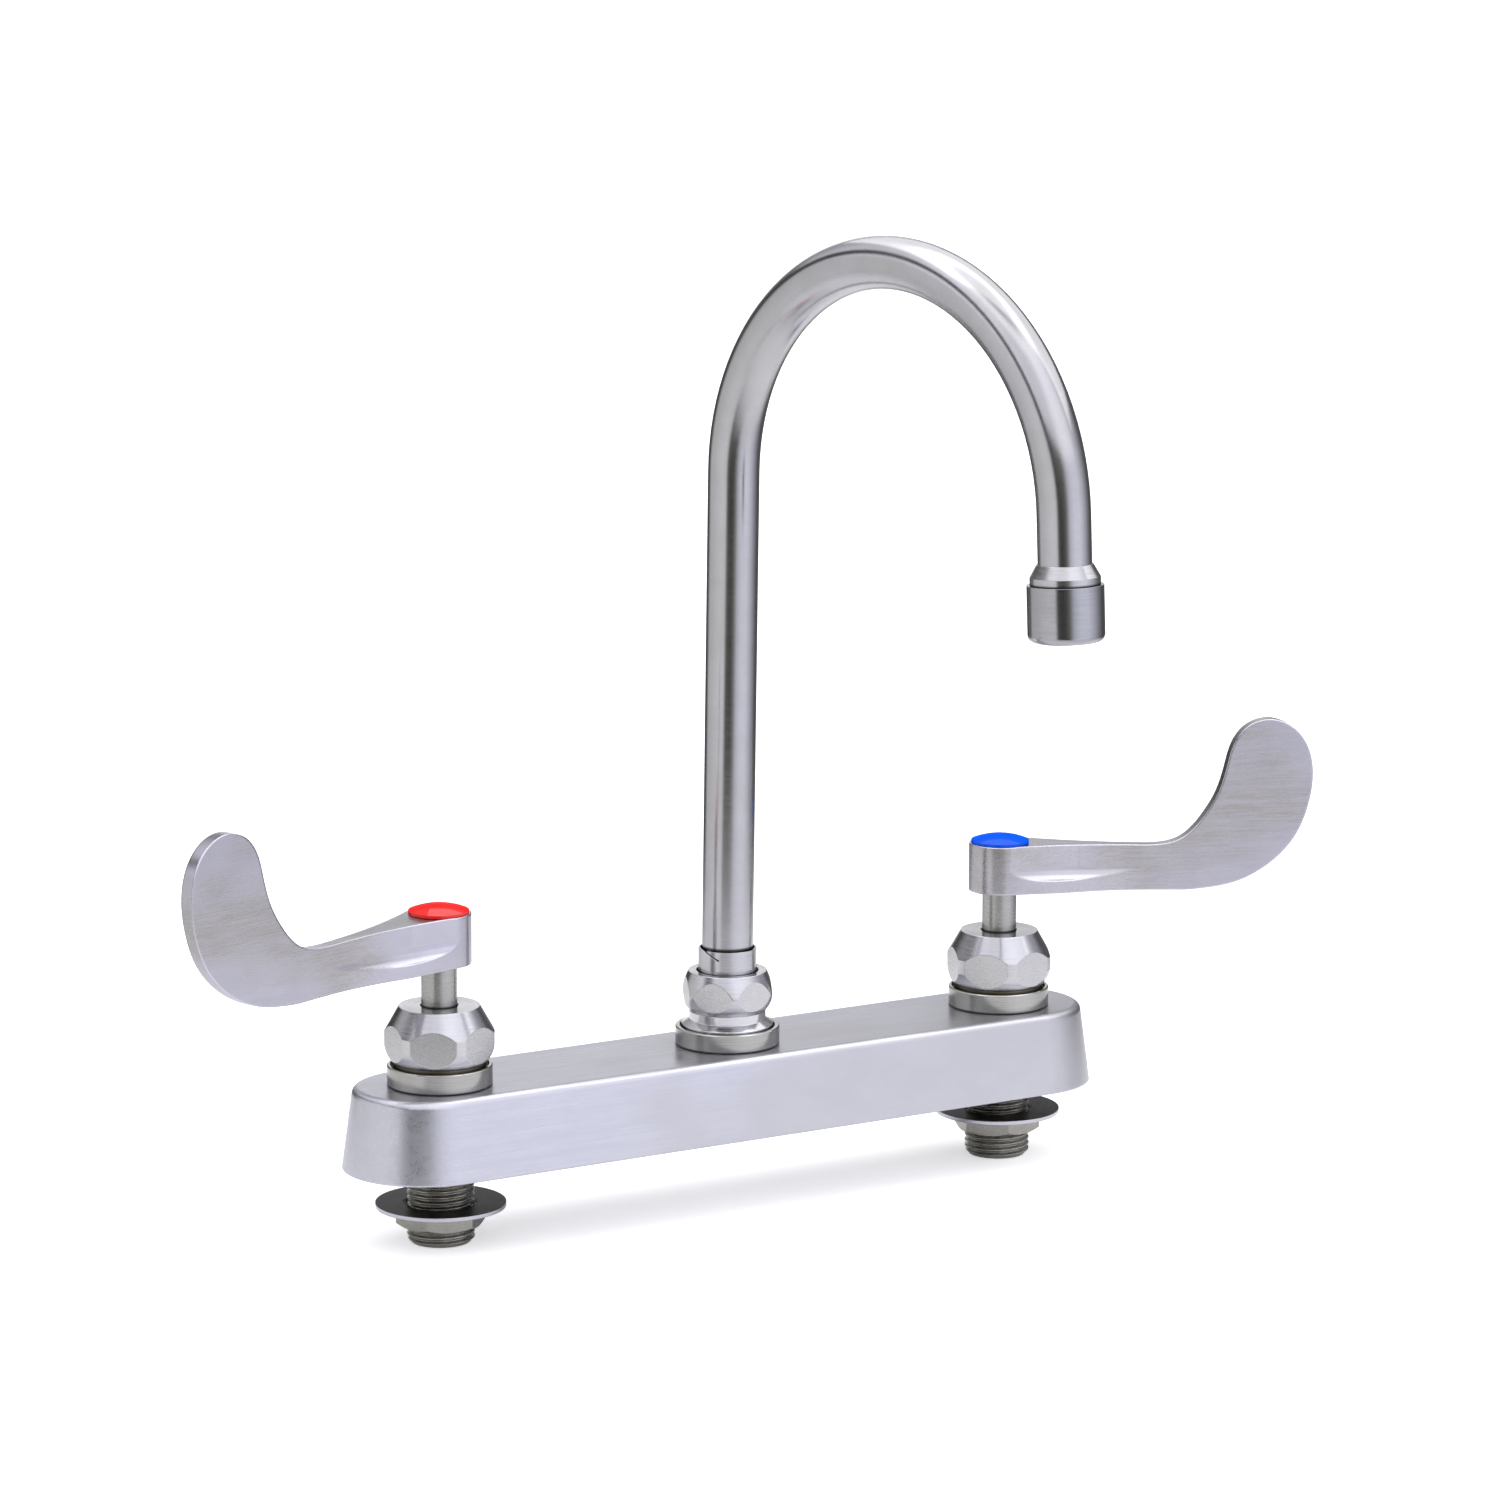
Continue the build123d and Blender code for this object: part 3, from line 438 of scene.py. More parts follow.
@dataclass(frozen=True)
class SteelFinish:
    """A bare stainless steel surface.

    Attributes:
        name: The finish's name.
        tint: Colour of the clean metal.
        warm: Colour of its handled patches.
        roughness: Roughness between the strokes.
        grain: Which way it was worked.
        line_rate: Grain lines in a metre.
        stroke_rate: Strokes in a metre along the grain, or drift round a turned piece.
        streak: How much the strokes change the colour.
        rough_streak: How much the strokes change the roughness.
        depth: Height of the grain, in metres.
        patch_rate: Handled patches in a metre.
        edge: Radius of the eased edges, in metres.
        anisotropy: How far the grain draws the gloss out.
        specks: Share of the pits that show.
        flats: Colour of the milled flats, where the piece has them.
        shaded_tops: Painted shade: the darker colour of the level top faces, where there is one.
        edge_highlight: Painted highlight: how much brighter the eased edges are coloured, on top of the
            polish that lowers their roughness.
    """

    name: str
    tint: Colour
    warm: Colour
    roughness: float
    grain: Grain = Grain.TURNED
    line_rate: float = 5200.0
    stroke_rate: float = 1.6
    streak: float = 0.14
    rough_streak: float = 0.08
    depth: float = 2.0e-6
    patch_rate: float = 22.0
    edge: float = 0.00022
    anisotropy: float = 0.0
    specks: float = 0.02
    flats: Optional[Colour] = None
    shaded_tops: Optional[Colour] = None
    edge_highlight: float = 1.3

    # Share of each effect at its full strength, and its colour
    STREAK_SHARE = 0.6
    HAZE_SHARE, HAZE = 0.06, (0.9, 0.9, 0.92)
    # Painted highlight on the eased edges: its share
    EDGE_HIGHLIGHT_SHARE = 0.7
    PIT_SHARE, PIT_DARK = 0.5, (0.1, 0.09, 0.08)
    # Painted shade at joints and in bores: its share and its near-black colour
    JOINT_SHARE, JOINT_DARK = 0.95, (0.03, 0.03, 0.026)
    # Pits in a metre, and how far the patches of brushed metal are drawn out
    PIT_RATE = 900.0
    PATCH_STRETCH = (0.5, 1.0, 1.0)
    # Rise of a face's normal on upright flats, and on level tops, which the painted shade darkens
    UPRIGHT_BAND = (0.06, 0.16)
    LEVEL_BAND = (0.9, 0.97)
    # How much of the grain a milled flat loses
    MILLED_CALM = 0.85
    # What patches, edges and milled flats add to the roughness
    PATCH_ROUGHNESS, EDGE_ROUGHNESS, MILLED_ROUGHNESS = 0.03, -0.05, 0.06
    # Turn of the drawn-out gloss, as a share of a full turn
    GLOSS_TURN = 0.25

    def material(self, groups: EffectGroups, seat: Seat) -> Material:
        """Makes the finish for pieces that share a seat.

        Args:
            groups: The shared effects.
            seat: The local frame of the pieces.

        Returns:
            The material.
        """
        made, sheet, shader = blank_material(f"{self.name}_{seat.name}")
        where = seated_position(sheet, seat)
        drawn = where
        if self.grain is Grain.TURNED:
            grain = sheet.place(
                groups.turned, Position=where, Line_Rate=self.line_rate, Drift_Rate=self.stroke_rate
            )
        else:
            grain = sheet.place(
                groups.brushed, Position=where, Line_Rate=self.line_rate, Stroke_Rate=self.stroke_rate
            )
            drawn = sheet.vector("MULTIPLY", where, self.PATCH_STRETCH).outputs[0]
        patches = sheet.place(groups.mottle, Position=drawn, Patch_Rate=self.patch_rate)
        edge = sheet.place(groups.edge, Radius=self.edge)
        joint = sheet.place(groups.joint, Position=where, Foot=seat.foot, Bore=seat.bore)
        specks = sheet.place(groups.specks, Position=where, Rate=self.PIT_RATE, Share=self.specks)
        clean = sheet.blend(patches.outputs["Patches"], self.tint, self.warm)
        rise = sheet.rise("True Normal")
        milled = 0.0
        if self.flats is not None:
            milled = sheet.remap(sheet.math("ABSOLUTE", rise), self.UPRIGHT_BAND, (1.0, 0.0))
            clean = sheet.blend(milled, clean, self.flats)
        # Painted shade: level top faces take a darker colour, standing in for the dimmer reflection on them
        if self.shaded_tops is not None:
            clean = sheet.blend(sheet.remap(rise, self.LEVEL_BAND), clean, self.shaded_tops)
        turned = sheet.math("SUBTRACT", 1.0, sheet.math("MULTIPLY", milled, self.MILLED_CALM))
        strength = sheet.math("MULTIPLY", turned, self.STREAK_SHARE)
        streak = sheet.math("MULTIPLY", grain.outputs["Streak"], strength)
        colour = sheet.blend(streak, clean, scaled(1.0 - self.streak, self.tint))
        # Layers over the clean metal: a random haze, a painted highlight on the eased edges, pits, and
        # painted shade at joints and in bores
        layers = (
            (patches.outputs["Clouds"], self.HAZE_SHARE, self.HAZE),
            (edge.outputs["Edge"], self.EDGE_HIGHLIGHT_SHARE, scaled(self.edge_highlight, self.tint)),
            (specks.outputs["Speck"], self.PIT_SHARE, self.PIT_DARK),
            (joint.outputs["Shade"], self.JOINT_SHARE, self.JOINT_DARK),
        )
        for mask, share, over in layers:
            colour = sheet.blend(sheet.math("MULTIPLY", mask, share), colour, over)
        worked = sheet.math("MULTIPLY_ADD", grain.outputs["Streak"], self.rough_streak, self.roughness)
        wiped = sheet.math(
            "ADD", worked, sheet.math("MULTIPLY", patches.outputs["Patches"], self.PATCH_ROUGHNESS)
        )
        smooth = sheet.math("MULTIPLY", edge.outputs["Edge"], self.EDGE_ROUGHNESS)
        rubbed = sheet.math("ADD", smooth, sheet.math("MULTIPLY", milled, self.MILLED_ROUGHNESS))
        rough = sheet.math("ADD", wiped, rubbed, clamp=True)
        sheet.wire(shader, Base_Color=colour, Roughness=rough, Metallic=1.0)
        relief = sheet.math("MULTIPLY", grain.outputs["Height"], turned)
        sheet.bump(shader, self.depth, relief, edge.outputs["Normal"])
        if self.anisotropy > 0.0:
            tangent = sheet.add("Tangent", direction_type="RADIAL", axis="Z").outputs[0]
            sheet.wire(shader, Tangent=tangent, Anisotropic=self.anisotropy)
            sheet.wire(shader, Anisotropic_Rotation=self.GLOSS_TURN)
        return made


@dataclass(frozen=True)
class PlainFinish:
    """A moulded, ceramic or rubber surface with a fine texture.

    Attributes:
        name: The finish's name.
        colour: Its main colour.
        shade: The colour of its softer patches.
        roughness: Its roughness.
        coat: Weight of a clear gloss, which weakens where the surface is seen at a low angle.
        specular: Specular level under the gloss.
        texture_rate: Texture grains in a metre.
        depth: Height of the texture, in metres.
        edge: Radius of the eased edges, in metres.
        patch_rate: Patches in a metre.
    """

    name: str
    colour: Colour
    shade: Colour
    roughness: float
    coat: float = 0.0
    specular: float = 0.5
    texture_rate: float = 1500.0
    depth: float = 5.0e-6
    edge: float = 0.0003
    patch_rate: float = 60.0

    # Shares of the roughness in and out of the clouds
    CLOUD_ROUGHNESS = (0.9, 1.15)
    # Facing, 0 head-on and 1 edge-on, over which the gloss weakens, the share left, and its roughness
    COAT_BAND = (0.5, 0.75)
    COAT_LEFT = 0.09
    COAT_ROUGHNESS = 0.05

    def material(self, groups: EffectGroups, seat: Seat) -> Material:
        """Makes the finish for pieces that share a seat.

        Args:
            groups: The shared effects.
            seat: The local frame of the pieces.

        Returns:
            The material.
        """
        made, sheet, shader = blank_material(f"{self.name}_{seat.name}")
        where = seated_position(sheet, seat)
        patches = sheet.place(groups.mottle, Position=where, Patch_Rate=self.patch_rate)
        edge = sheet.place(groups.edge, Radius=self.edge)
        grains = sheet.noise(where, self.texture_rate, 2.0, 0.5)
        colour = sheet.blend(patches.outputs["Patches"], self.colour, self.shade)
        low, high = (self.roughness * share for share in self.CLOUD_ROUGHNESS)
        varied = sheet.remap(patches.outputs["Clouds"], (0.0, 1.0), (low, high))
        sheet.wire(shader, Base_Color=colour, Roughness=varied, Coat_Roughness=self.COAT_ROUGHNESS)
        sheet.bump(shader, self.depth, grains, edge.outputs["Normal"])
        if self.coat > 0.0:
            facing = sheet.add("LayerWeight").outputs["Facing"]
            weight = sheet.remap(facing, self.COAT_BAND, (self.coat, self.coat * self.COAT_LEFT))
            sheet.feed(shader.inputs["Coat Weight"], weight)
        sheet.wire(shader, Specular_IOR_Level=self.specular)
        return made


@dataclass(frozen=True)
class WasherFinish:
    """A pressed steel washer: a steel rim, and faces coloured near-black as painted shade from the body
    above.

    Attributes:
        name: The finish's name.
        rim: Colour of the rim.
        face_shade: Painted shade: the near-black colour of the faces.
        cloud_shade: Painted shade colour of the random clouds on the faces.
        ring_shade: Painted shade colour of the rings on the faces.
        ring_share: How strongly the rings show.
        roughness: Roughness of the rim and of the faces.
        face_band: Rise of the normal between the rim and a face.
        line_rate: Rings in a metre.
        drift_rate: How fast a ring changes round the washer.
        patch_rate: Patches in a metre.
        depth: Height of the rings, in metres.
        edge: Radius of the eased edges, in metres.
    """

    name: str = "washer_steel"
    rim: Colour = (0.56, 0.55, 0.60)
    face_shade: Colour = (0.022, 0.022, 0.018)
    cloud_shade: Colour = (0.045, 0.044, 0.036)
    ring_shade: Colour = (0.09, 0.09, 0.075)
    ring_share: float = 0.3
    roughness: Band = (0.26, 0.46)
    face_band: Band = (0.45, 0.8)
    line_rate: float = 2200.0
    drift_rate: float = 3.0
    patch_rate: float = 120.0
    depth: float = 4.0e-6
    edge: float = 0.00035

    def material(self, groups: EffectGroups, seat: Seat) -> Material:
        """Makes the finish for a washer.

        Args:
            groups: The shared effects.
            seat: The washer's local frame.

        Returns:
            The material.
        """
        made, sheet, shader = blank_material(f"{self.name}_{seat.name}")
        where = seated_position(sheet, seat)
        grain = sheet.place(
            groups.turned, Position=where, Line_Rate=self.line_rate, Drift_Rate=self.drift_rate
        )
        patches = sheet.place(groups.mottle, Position=where, Patch_Rate=self.patch_rate)
        edge = sheet.place(groups.edge, Radius=self.edge)
        # Painted shade: the faces take the near-black colours, standing in for the shade and dark
        # reflection under the body; the rim keeps the steel colour
        face = sheet.remap(sheet.math("ABSOLUTE", sheet.rise("Normal")), self.face_band)
        face_shade = sheet.blend(patches.outputs["Clouds"], self.face_shade, self.cloud_shade)
        rings = sheet.math("MULTIPLY", grain.outputs["Streak"], self.ring_share)
        faces = sheet.blend(rings, face_shade, self.ring_shade)
        colour = sheet.blend(face, self.rim, faces)
        rough = sheet.remap(face, (0.0, 1.0), self.roughness)
        sheet.wire(shader, Base_Color=colour, Roughness=rough, Metallic=1.0)
        sheet.bump(shader, self.depth, grain.outputs["Height"], edge.outputs["Normal"])
        return made


Finish = Union[SteelFinish, PlainFinish, WasherFinish]


def blank_material(name: str) -> tuple[Material, NodeSheet, Node]:
    """Starts a material with its shader wired to the output.

    Args:
        name: The material's name.

    Returns:
        The material, its sheet and its Principled shader.
    """
    made = bpy.data.materials.new(name)
    made.use_nodes = True
    made.node_tree.nodes.clear()
    sheet = NodeSheet(made.node_tree)
    shader = sheet.add("BsdfPrincipled")
    output = sheet.add("OutputMaterial")
    sheet.feed(output.inputs["Surface"], shader.outputs[0])
    return made, sheet, shader


def seated_position(sheet: NodeSheet, seat: Seat) -> Socket:
    """The surface position in a seat's own frame.

    Args:
        sheet: The material's sheet.
        seat: The seat.

    Returns:
        The position, in metres.
    """
    position = sheet.add("TexCoord").outputs["Object"]
    local = sheet.add("Mapping", vector_type="TEXTURE")
    return sheet.wire(local, Vector=position, Location=seat.centre, Rotation=seat.turn).outputs[0]


CAST = SteelFinish(
    "cast_stainless", (0.59, 0.59, 0.642), (0.535, 0.53, 0.54), 0.27, Grain.BRUSHED, edge_highlight=1.2,
    line_rate=2600.0, stroke_rate=60.0, streak=0.10, rough_streak=0.10, depth=3.0e-6, edge=0.0008,
)
# The blade's level tops are coloured darker: painted shade
BLADE = SteelFinish(
    "blade_stainless", (0.495, 0.485, 0.54), (0.40, 0.38, 0.355), 0.22, Grain.BRUSHED, edge_highlight=1.5,
    line_rate=2600.0, stroke_rate=100.0, streak=0.03, rough_streak=0.05, depth=1.0e-6, edge=0.0009,
    patch_rate=30.0, anisotropy=0.7, shaded_tops=(0.42, 0.415, 0.43),
)
MACHINED = SteelFinish(
    "machined_stainless", (0.54, 0.54, 0.555), (0.50, 0.495, 0.475), 0.17, anisotropy=0.6,
)
NUT_STEEL = SteelFinish(
    "nut_stainless", (0.55, 0.55, 0.575), (0.52, 0.515, 0.52), 0.16, anisotropy=0.6,
    flats=(0.58, 0.57, 0.565), edge=0.00035, edge_highlight=1.5,
)
COLLAR_STEEL = SteelFinish(
    "collar_stainless", (0.43, 0.425, 0.40), (0.35, 0.345, 0.30), 0.14, anisotropy=0.5, edge_highlight=1.6,
)
MIRROR_STEEL = SteelFinish(
    "post_stainless", (0.66, 0.66, 0.67), (0.60, 0.595, 0.58), 0.10, anisotropy=0.3, depth=1.0e-6,
)
SHELL_STEEL = SteelFinish(
    "aerator_stainless", (0.41, 0.41, 0.43), (0.38, 0.375, 0.375), 0.13, anisotropy=0.5,
)
STEM_STEEL = SteelFinish(
    "stem_stainless", (0.40, 0.395, 0.375), (0.33, 0.325, 0.29), 0.22, anisotropy=0.4, specks=0.12,
)
POLISHED = SteelFinish(
    "polished_stainless", (0.485, 0.48, 0.495), (0.46, 0.455, 0.45), 0.165,
    line_rate=3000.0, streak=0.06, rough_streak=0.04, depth=0.6e-6, edge=0.0002,
)
THREADED = SteelFinish(
    "threaded_steel", (0.42, 0.41, 0.375), (0.30, 0.29, 0.25), 0.20, depth=1.0e-6, specks=0.15,
)
# Cartridge brass coloured near-black: painted shade for the part that shows in the dark gap under the
# bonnet nut
GAP_SHADED_BRASS = SteelFinish("cartridge_brass", (0.17, 0.145, 0.10), (0.10, 0.085, 0.06), 0.38, anisotropy=0.3)
CERAMIC = PlainFinish("ceramic_white", (0.88, 0.87, 0.84), (0.82, 0.81, 0.77), 0.22, depth=1.0e-6)
RUBBER = PlainFinish("rubber_black", (0.025, 0.025, 0.026), (0.04, 0.04, 0.04), 0.62, depth=1.2e-5)
BEARING = PlainFinish("bearing_plastic", (0.80, 0.80, 0.77), (0.72, 0.72, 0.69), 0.42)
RED_GLOSS = PlainFinish(
    "hot_button_plastic", (0.84, 0.018, 0.014), (0.78, 0.016, 0.012), 0.3,
    coat=1.0, specular=0.0, depth=3.0e-7,
)
BLUE_GLOSS = PlainFinish(
    "cold_button_plastic", (0.0, 0.10, 0.80), (0.0, 0.085, 0.72), 0.3,
    coat=0.45, specular=0.0, depth=3.0e-7,
)
PRESSED = WasherFinish()


@dataclass
class Wardrobe:
    """The materials made so far, by finish and seat."""

    groups: EffectGroups

    def __post_init__(self) -> None:
        """Starts with no materials."""
        self.made: dict[tuple[str, str], Material] = {}

    def dress(self, finish: Finish, seat: Seat, *pieces: Piece) -> None:
        """Gives pieces a finish.

        Args:
            finish: The finish.
            seat: The local frame of the pieces.
            *pieces: The objects to dress.
        """
        key = (finish.name, seat.name)
        if key not in self.made:
            self.made[key] = finish.material(self.groups, seat)
        for piece in pieces:
            piece.data.materials.clear()
            piece.data.materials.append(self.made[key])
            LOG.info("%s wears %s", piece.name, self.made[key].name)


def node(name: str) -> Piece:
    """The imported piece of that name."""
    return frame["nodes"][name]


def middle(name: str) -> Vector:
    """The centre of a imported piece's box, in metres."""
    low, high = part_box(name)
    return (low + high) / 2


def mesh_piece(name: str, points: list[Point], faces: list[Sequence[int]]) -> Piece:
    """Makes a mesh piece in the scene, smooth but for its sharp edges.

    Args:
        name: The piece's name.
        points: Its points, in metres.
        faces: Its faces, as indices of the points.

    Returns:
        The new object.
    """
    mesh = bpy.data.meshes.new(name)
    mesh.from_pydata(points, [], faces)
    mesh.polygons.foreach_set("use_smooth", [True] * len(mesh.polygons))
    mesh.set_sharp_from_angle(angle=SHARP_EDGE)
    piece = bpy.data.objects.new(name, mesh)
    bpy.context.scene.collection.objects.link(piece)
    return piece


@dataclass
class BodyCasting:
    """The long hollow casting that everything stands on."""

    wardrobe: Wardrobe

    def build(self) -> None:
        """Dresses the casting."""
        self.wardrobe.dress(CAST, Seat("body"), node("body"))


@dataclass
class InletShank:
    """A threaded shank under one valve, with its washer and locknut.

    Attributes:
        wardrobe: The finishes.
        side: Which valve it feeds.
        pitch: Distance between threads, for 14 threads to the inch.
        thread_depth: Height of the thread, in metres.
        root_share: Share of half a pitch that the flat root takes.
        flank_share: Share of half a pitch that the flank takes.
        chamfer: Size of the lead-in at the end, in metres.
        spigot_radius: Radius of the spigot in the body, in metres.
        around: Points round the shank.
        per_pitch: Points along one pitch.
    """

    wardrobe: Wardrobe
    side: Side
    pitch: float = 0.0254 / 14
    thread_depth: float = 0.00105
    root_share: float = 0.12
    flank_share: float = 0.66
    chamfer: float = 0.0014
    spigot_radius: float = 0.0090
    around: int = 96
    per_pitch: int = 10

    def build(self) -> None:
        """Cuts the thread, puts it in the shank's place and dresses all three pieces."""
        side = self.side.value
        axis = middle(f"{side}_shank")
        seat = Seat(f"{side}_shank", (axis.x, axis.y, 0.0))
        shank = self.threaded_shank(f"{side}_shank_thread", axis)
        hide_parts(f"{side}_shank")
        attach(shank, "base")
        self.wardrobe.dress(THREADED, seat, shank, node(f"{side}_locknut"))
        self.wardrobe.dress(PRESSED, seat, node(f"{side}_mounting_washer"))

    def outline_radius(self, height: float, turn: float, end: float, crest: float) -> float:
        """Radius of the threaded wall.

        Args:
            height: Height of the point, in metres.
            turn: Its angle, in turns.
            end: Height of the shank's end.
            crest: Radius of the thread's crest.

        Returns:
            The radius, in metres.
        """
        share = ((height - end) / self.pitch - turn) % 1.0
        slope = abs(2.0 * share - 1.0)
        cut = min(1.0, max(0.0, (slope - self.root_share) / self.flank_share))
        lead_in = crest - self.chamfer + (height - end)
        return min(crest - self.thread_depth * (1.0 - cut), lead_in)

    def threaded_shank(self, name: str, axis: Vector) -> Piece:
        """The shank's mesh: threaded wall, end face, bore and spigot.

        Args:
            name: The piece's name.
            axis: A point on the shank's axis.

        Returns:
            The new object.
        """
        low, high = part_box(f"{self.side.value}_shank")
        crest = (high.x - low.x) / 2
        bore = bore_radius(f"{self.side.value}_inlet")
        steps = round(-low.z / self.pitch * self.per_pitch)
        rows = [[(bore, high.z)] * self.around, [(bore, low.z)] * self.around]
        for step in range(steps + 1):
            height = low.z - low.z * step / steps
            rows.append([
                (self.outline_radius(height, place / self.around, low.z, crest), height)
                for place in range(self.around)
            ])
        rows += [[(self.spigot_radius, height)] * self.around for height in (0.0, high.z)]
        points = []
        for row in rows:
            for place, (radius, height) in enumerate(row):
                angle = math.tau * place / self.around
                east, north = radius * math.cos(angle), radius * math.sin(angle)
                points.append((axis.x + east, axis.y + north, height))
        faces = []
        for row in range(len(rows)):
            above = (row + 1) % len(rows)
            for place in range(self.around):
                beside = (place + 1) % self.around
                faces.append((
                    row * self.around + place,
                    row * self.around + beside,
                    above * self.around + beside,
                    above * self.around + place,
                ))
        return mesh_piece(name, points, faces)


def bore_radius(mount: str) -> float:
    """Radius of the bore that a mount in the record states, in metres."""
    stated = next(m for m in frame["record"]["mounts"] if m["name"] == mount)
    return stated["dims"]["r_mm"] / 1000.0


@dataclass
class Valve:
    """One valve: collar, bonnet nut, stem and the working pieces inside.

    Attributes:
        wardrobe: The finishes.
        side: Which valve it is.
        nut_hole: Radius of the hole in the nut's top, in metres; the gap inside it is painted dark as
            shade.
    """

    wardrobe: Wardrobe
    side: Side
    nut_hole: float = 0.0058

    def build(self) -> None:
        """Dresses the valve's pieces."""
        side = self.side.value
        axis = middle(f"{side}_stem")
        seat = Seat(f"{side}_valve", (axis.x, axis.y, 0.0))
        # Painted shade: a dark line at the collar's foot on the body, and dark in the gap of the nut's hole
        standing = Seat(f"{side}_collar", seat.centre, foot=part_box("body")[1].z)
        holed = Seat(f"{side}_nut", seat.centre, bore=self.nut_hole)
        self.wardrobe.dress(COLLAR_STEEL, standing, node(f"{side}_valve_collar"))
        self.wardrobe.dress(NUT_STEEL, holed, node(f"{side}_bonnet_nut"))
        worn = (
            (MACHINED, ("handle_screw",)),
            (GAP_SHADED_BRASS, ("cartridge",)),
            (CERAMIC, ("fixed_disc", "moving_disc")),
            (RUBBER, ("seat_seal", "stem_oring")),
        )
        for finish, names in worn:
            self.wardrobe.dress(finish, seat, *(node(f"{side}_{name}") for name in names))
        # Painted shade: a dark ring on the stem where it comes out of the nut
        rising = Seat(f"{side}_stem", seat.centre, foot=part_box(f"{side}_bonnet_nut")[1].z)
        self.wardrobe.dress(STEM_STEEL, rising, node(f"{side}_stem"))


@dataclass
class Lever:
    """One wing-blade lever and its index button."""

    wardrobe: Wardrobe
    side: Side

    def build(self) -> None:
        """Dresses the lever along its blade, and the button."""
        side = self.side.value
        axis = middle(f"{side}_stem")
        handle = node(f"{side}_handle")
        points = [vertex.co for vertex in handle.data.vertices]
        centroid = sum(points, Vector()) / len(points)
        azimuth = math.atan2(centroid.y - axis.y, centroid.x - axis.x)
        seat = Seat(f"{side}_lever", (axis.x, axis.y, 0.0), (0.0, 0.0, azimuth))
        self.wardrobe.dress(BLADE, seat, handle)
        gloss = RED_GLOSS if self.side is Side.HOT else BLUE_GLOSS
        self.wardrobe.dress(gloss, seat, node(f"{side}_index_button"))


@dataclass
class SpoutFoot:
    """The post, nut and split sleeve that hold the gooseneck, and what is inside them.

    Attributes:
        wardrobe: The finishes.
        nut_hole: Radius of the hole in the nut's top, in metres; painted shade darkens the gap inside it.
        sleeve_bore: Radius of the sleeve's bore, in metres; painted shade darkens the gap inside it.
    """

    wardrobe: Wardrobe
    nut_hole: float = 0.0098
    sleeve_bore: float = 0.0087

    def build(self) -> None:
        """Dresses the pieces of the foot."""
        seat = Seat("spout")
        # Painted shade: a dark line at the collar's foot, and dark in the gaps of the nut's hole and the
        # sleeve's bore
        standing = Seat("spout_collar", foot=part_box("body")[1].z)
        self.wardrobe.dress(COLLAR_STEEL, standing, node("spout_collar"))
        self.wardrobe.dress(NUT_STEEL, Seat("spout_nut", bore=self.nut_hole), node("spout_nut"))
        self.wardrobe.dress(MACHINED, Seat("spout_sleeve", bore=self.sleeve_bore), node("spout_sleeve"))
        self.wardrobe.dress(MIRROR_STEEL, seat, node("spout_post"), node("spout_snap_ring"))
        self.wardrobe.dress(RUBBER, seat, node("spout_orings"))
        self.wardrobe.dress(BEARING, seat, node("spout_thrust_washer"))


@dataclass
class Gooseneck:
    """The tube, and the outlet at its end.

    Attributes:
        wardrobe: The finishes.
        joint_rise: Height of the painted shadow line round the tube over the sleeve, in metres.
    """

    wardrobe: Wardrobe
    joint_rise: float = 0.0004

    def build(self) -> None:
        """Dresses the tube and the outlet."""
        sleeve_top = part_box("spout_sleeve")[1].z
        # Painted shade: a dark line round the tube just over the sleeve
        rising = Seat("tube", foot=sleeve_top + self.joint_rise)
        self.wardrobe.dress(POLISHED, rising, node("gooseneck_tube"))
        upper = middle("outlet_adapter")
        lower = middle("aerator_insert")
        along = (upper - lower).normalized()
        turn = along.to_track_quat("Z", "Y").to_euler()
        seat = Seat("outlet", tuple(lower), tuple(turn))
        lip = max((vertex.co - lower) @ along for vertex in node("aerator_shell").data.vertices)
        # Painted shade: a dark line on the adapter at the shell's lip
        banded = Seat("adapter", seat.centre, seat.turn, foot=lip)
        self.wardrobe.dress(MACHINED, banded, node("outlet_adapter"))
        self.wardrobe.dress(SHELL_STEEL, seat, node("aerator_shell"))
        self.wardrobe.dress(RUBBER, seat, node("aerator_gasket"))
        self.wardrobe.dress(BEARING, seat, node("aerator_insert"))


@dataclass(frozen=True)
class Bank:
    """One bearing of the light tent round the object.

    Attributes:
        bearing: Degrees to the right of the camera, seen from the object.
        level: Brightness of the wall there, where 1 is white.
        above: Brightness over the wall.
        tint: Colour of the wall.
    """

    bearing: float
    level: float
    above: float
    tint: Colour = (1.0, 1.0, 1.02)


COOL = (0.98, 0.99, 1.12)
OLIVE = (1.0, 1.0, 0.88)
TENT = (
    Bank(-180, 1.12, 0.35), Bank(-172, 1.18, 0.35), Bank(-162, 0.45, 0.35), Bank(-148, 0.08, 0.6),
    Bank(-134, 0.10, 0.85), Bank(-120, 0.74, 0.95), Bank(-96, 0.82, 1.1), Bank(-76, 0.92, 1.35),
    Bank(-54, 1.00, 1.3), Bank(-34, 1.00, 1.15), Bank(-26, 0.11, 1.05, OLIVE),
    Bank(0, 0.12, 1.1, OLIVE), Bank(9, 0.24, 1.3, OLIVE), Bank(23, 0.86, 1.5, COOL),
    Bank(42, 1.12, 1.5, COOL), Bank(66, 1.14, 1.35, COOL), Bank(88, 0.80, 0.7, COOL),
    Bank(110, 0.38, 0.4, COOL), Bank(130, 0.12, 0.35), Bank(150, 0.12, 0.35),
    Bank(163, 0.20, 0.35), Bank(173, 0.45, 0.35), Bank(180, 1.12, 0.35),
)
WHITE = (1.0, 1.0, 1.0)


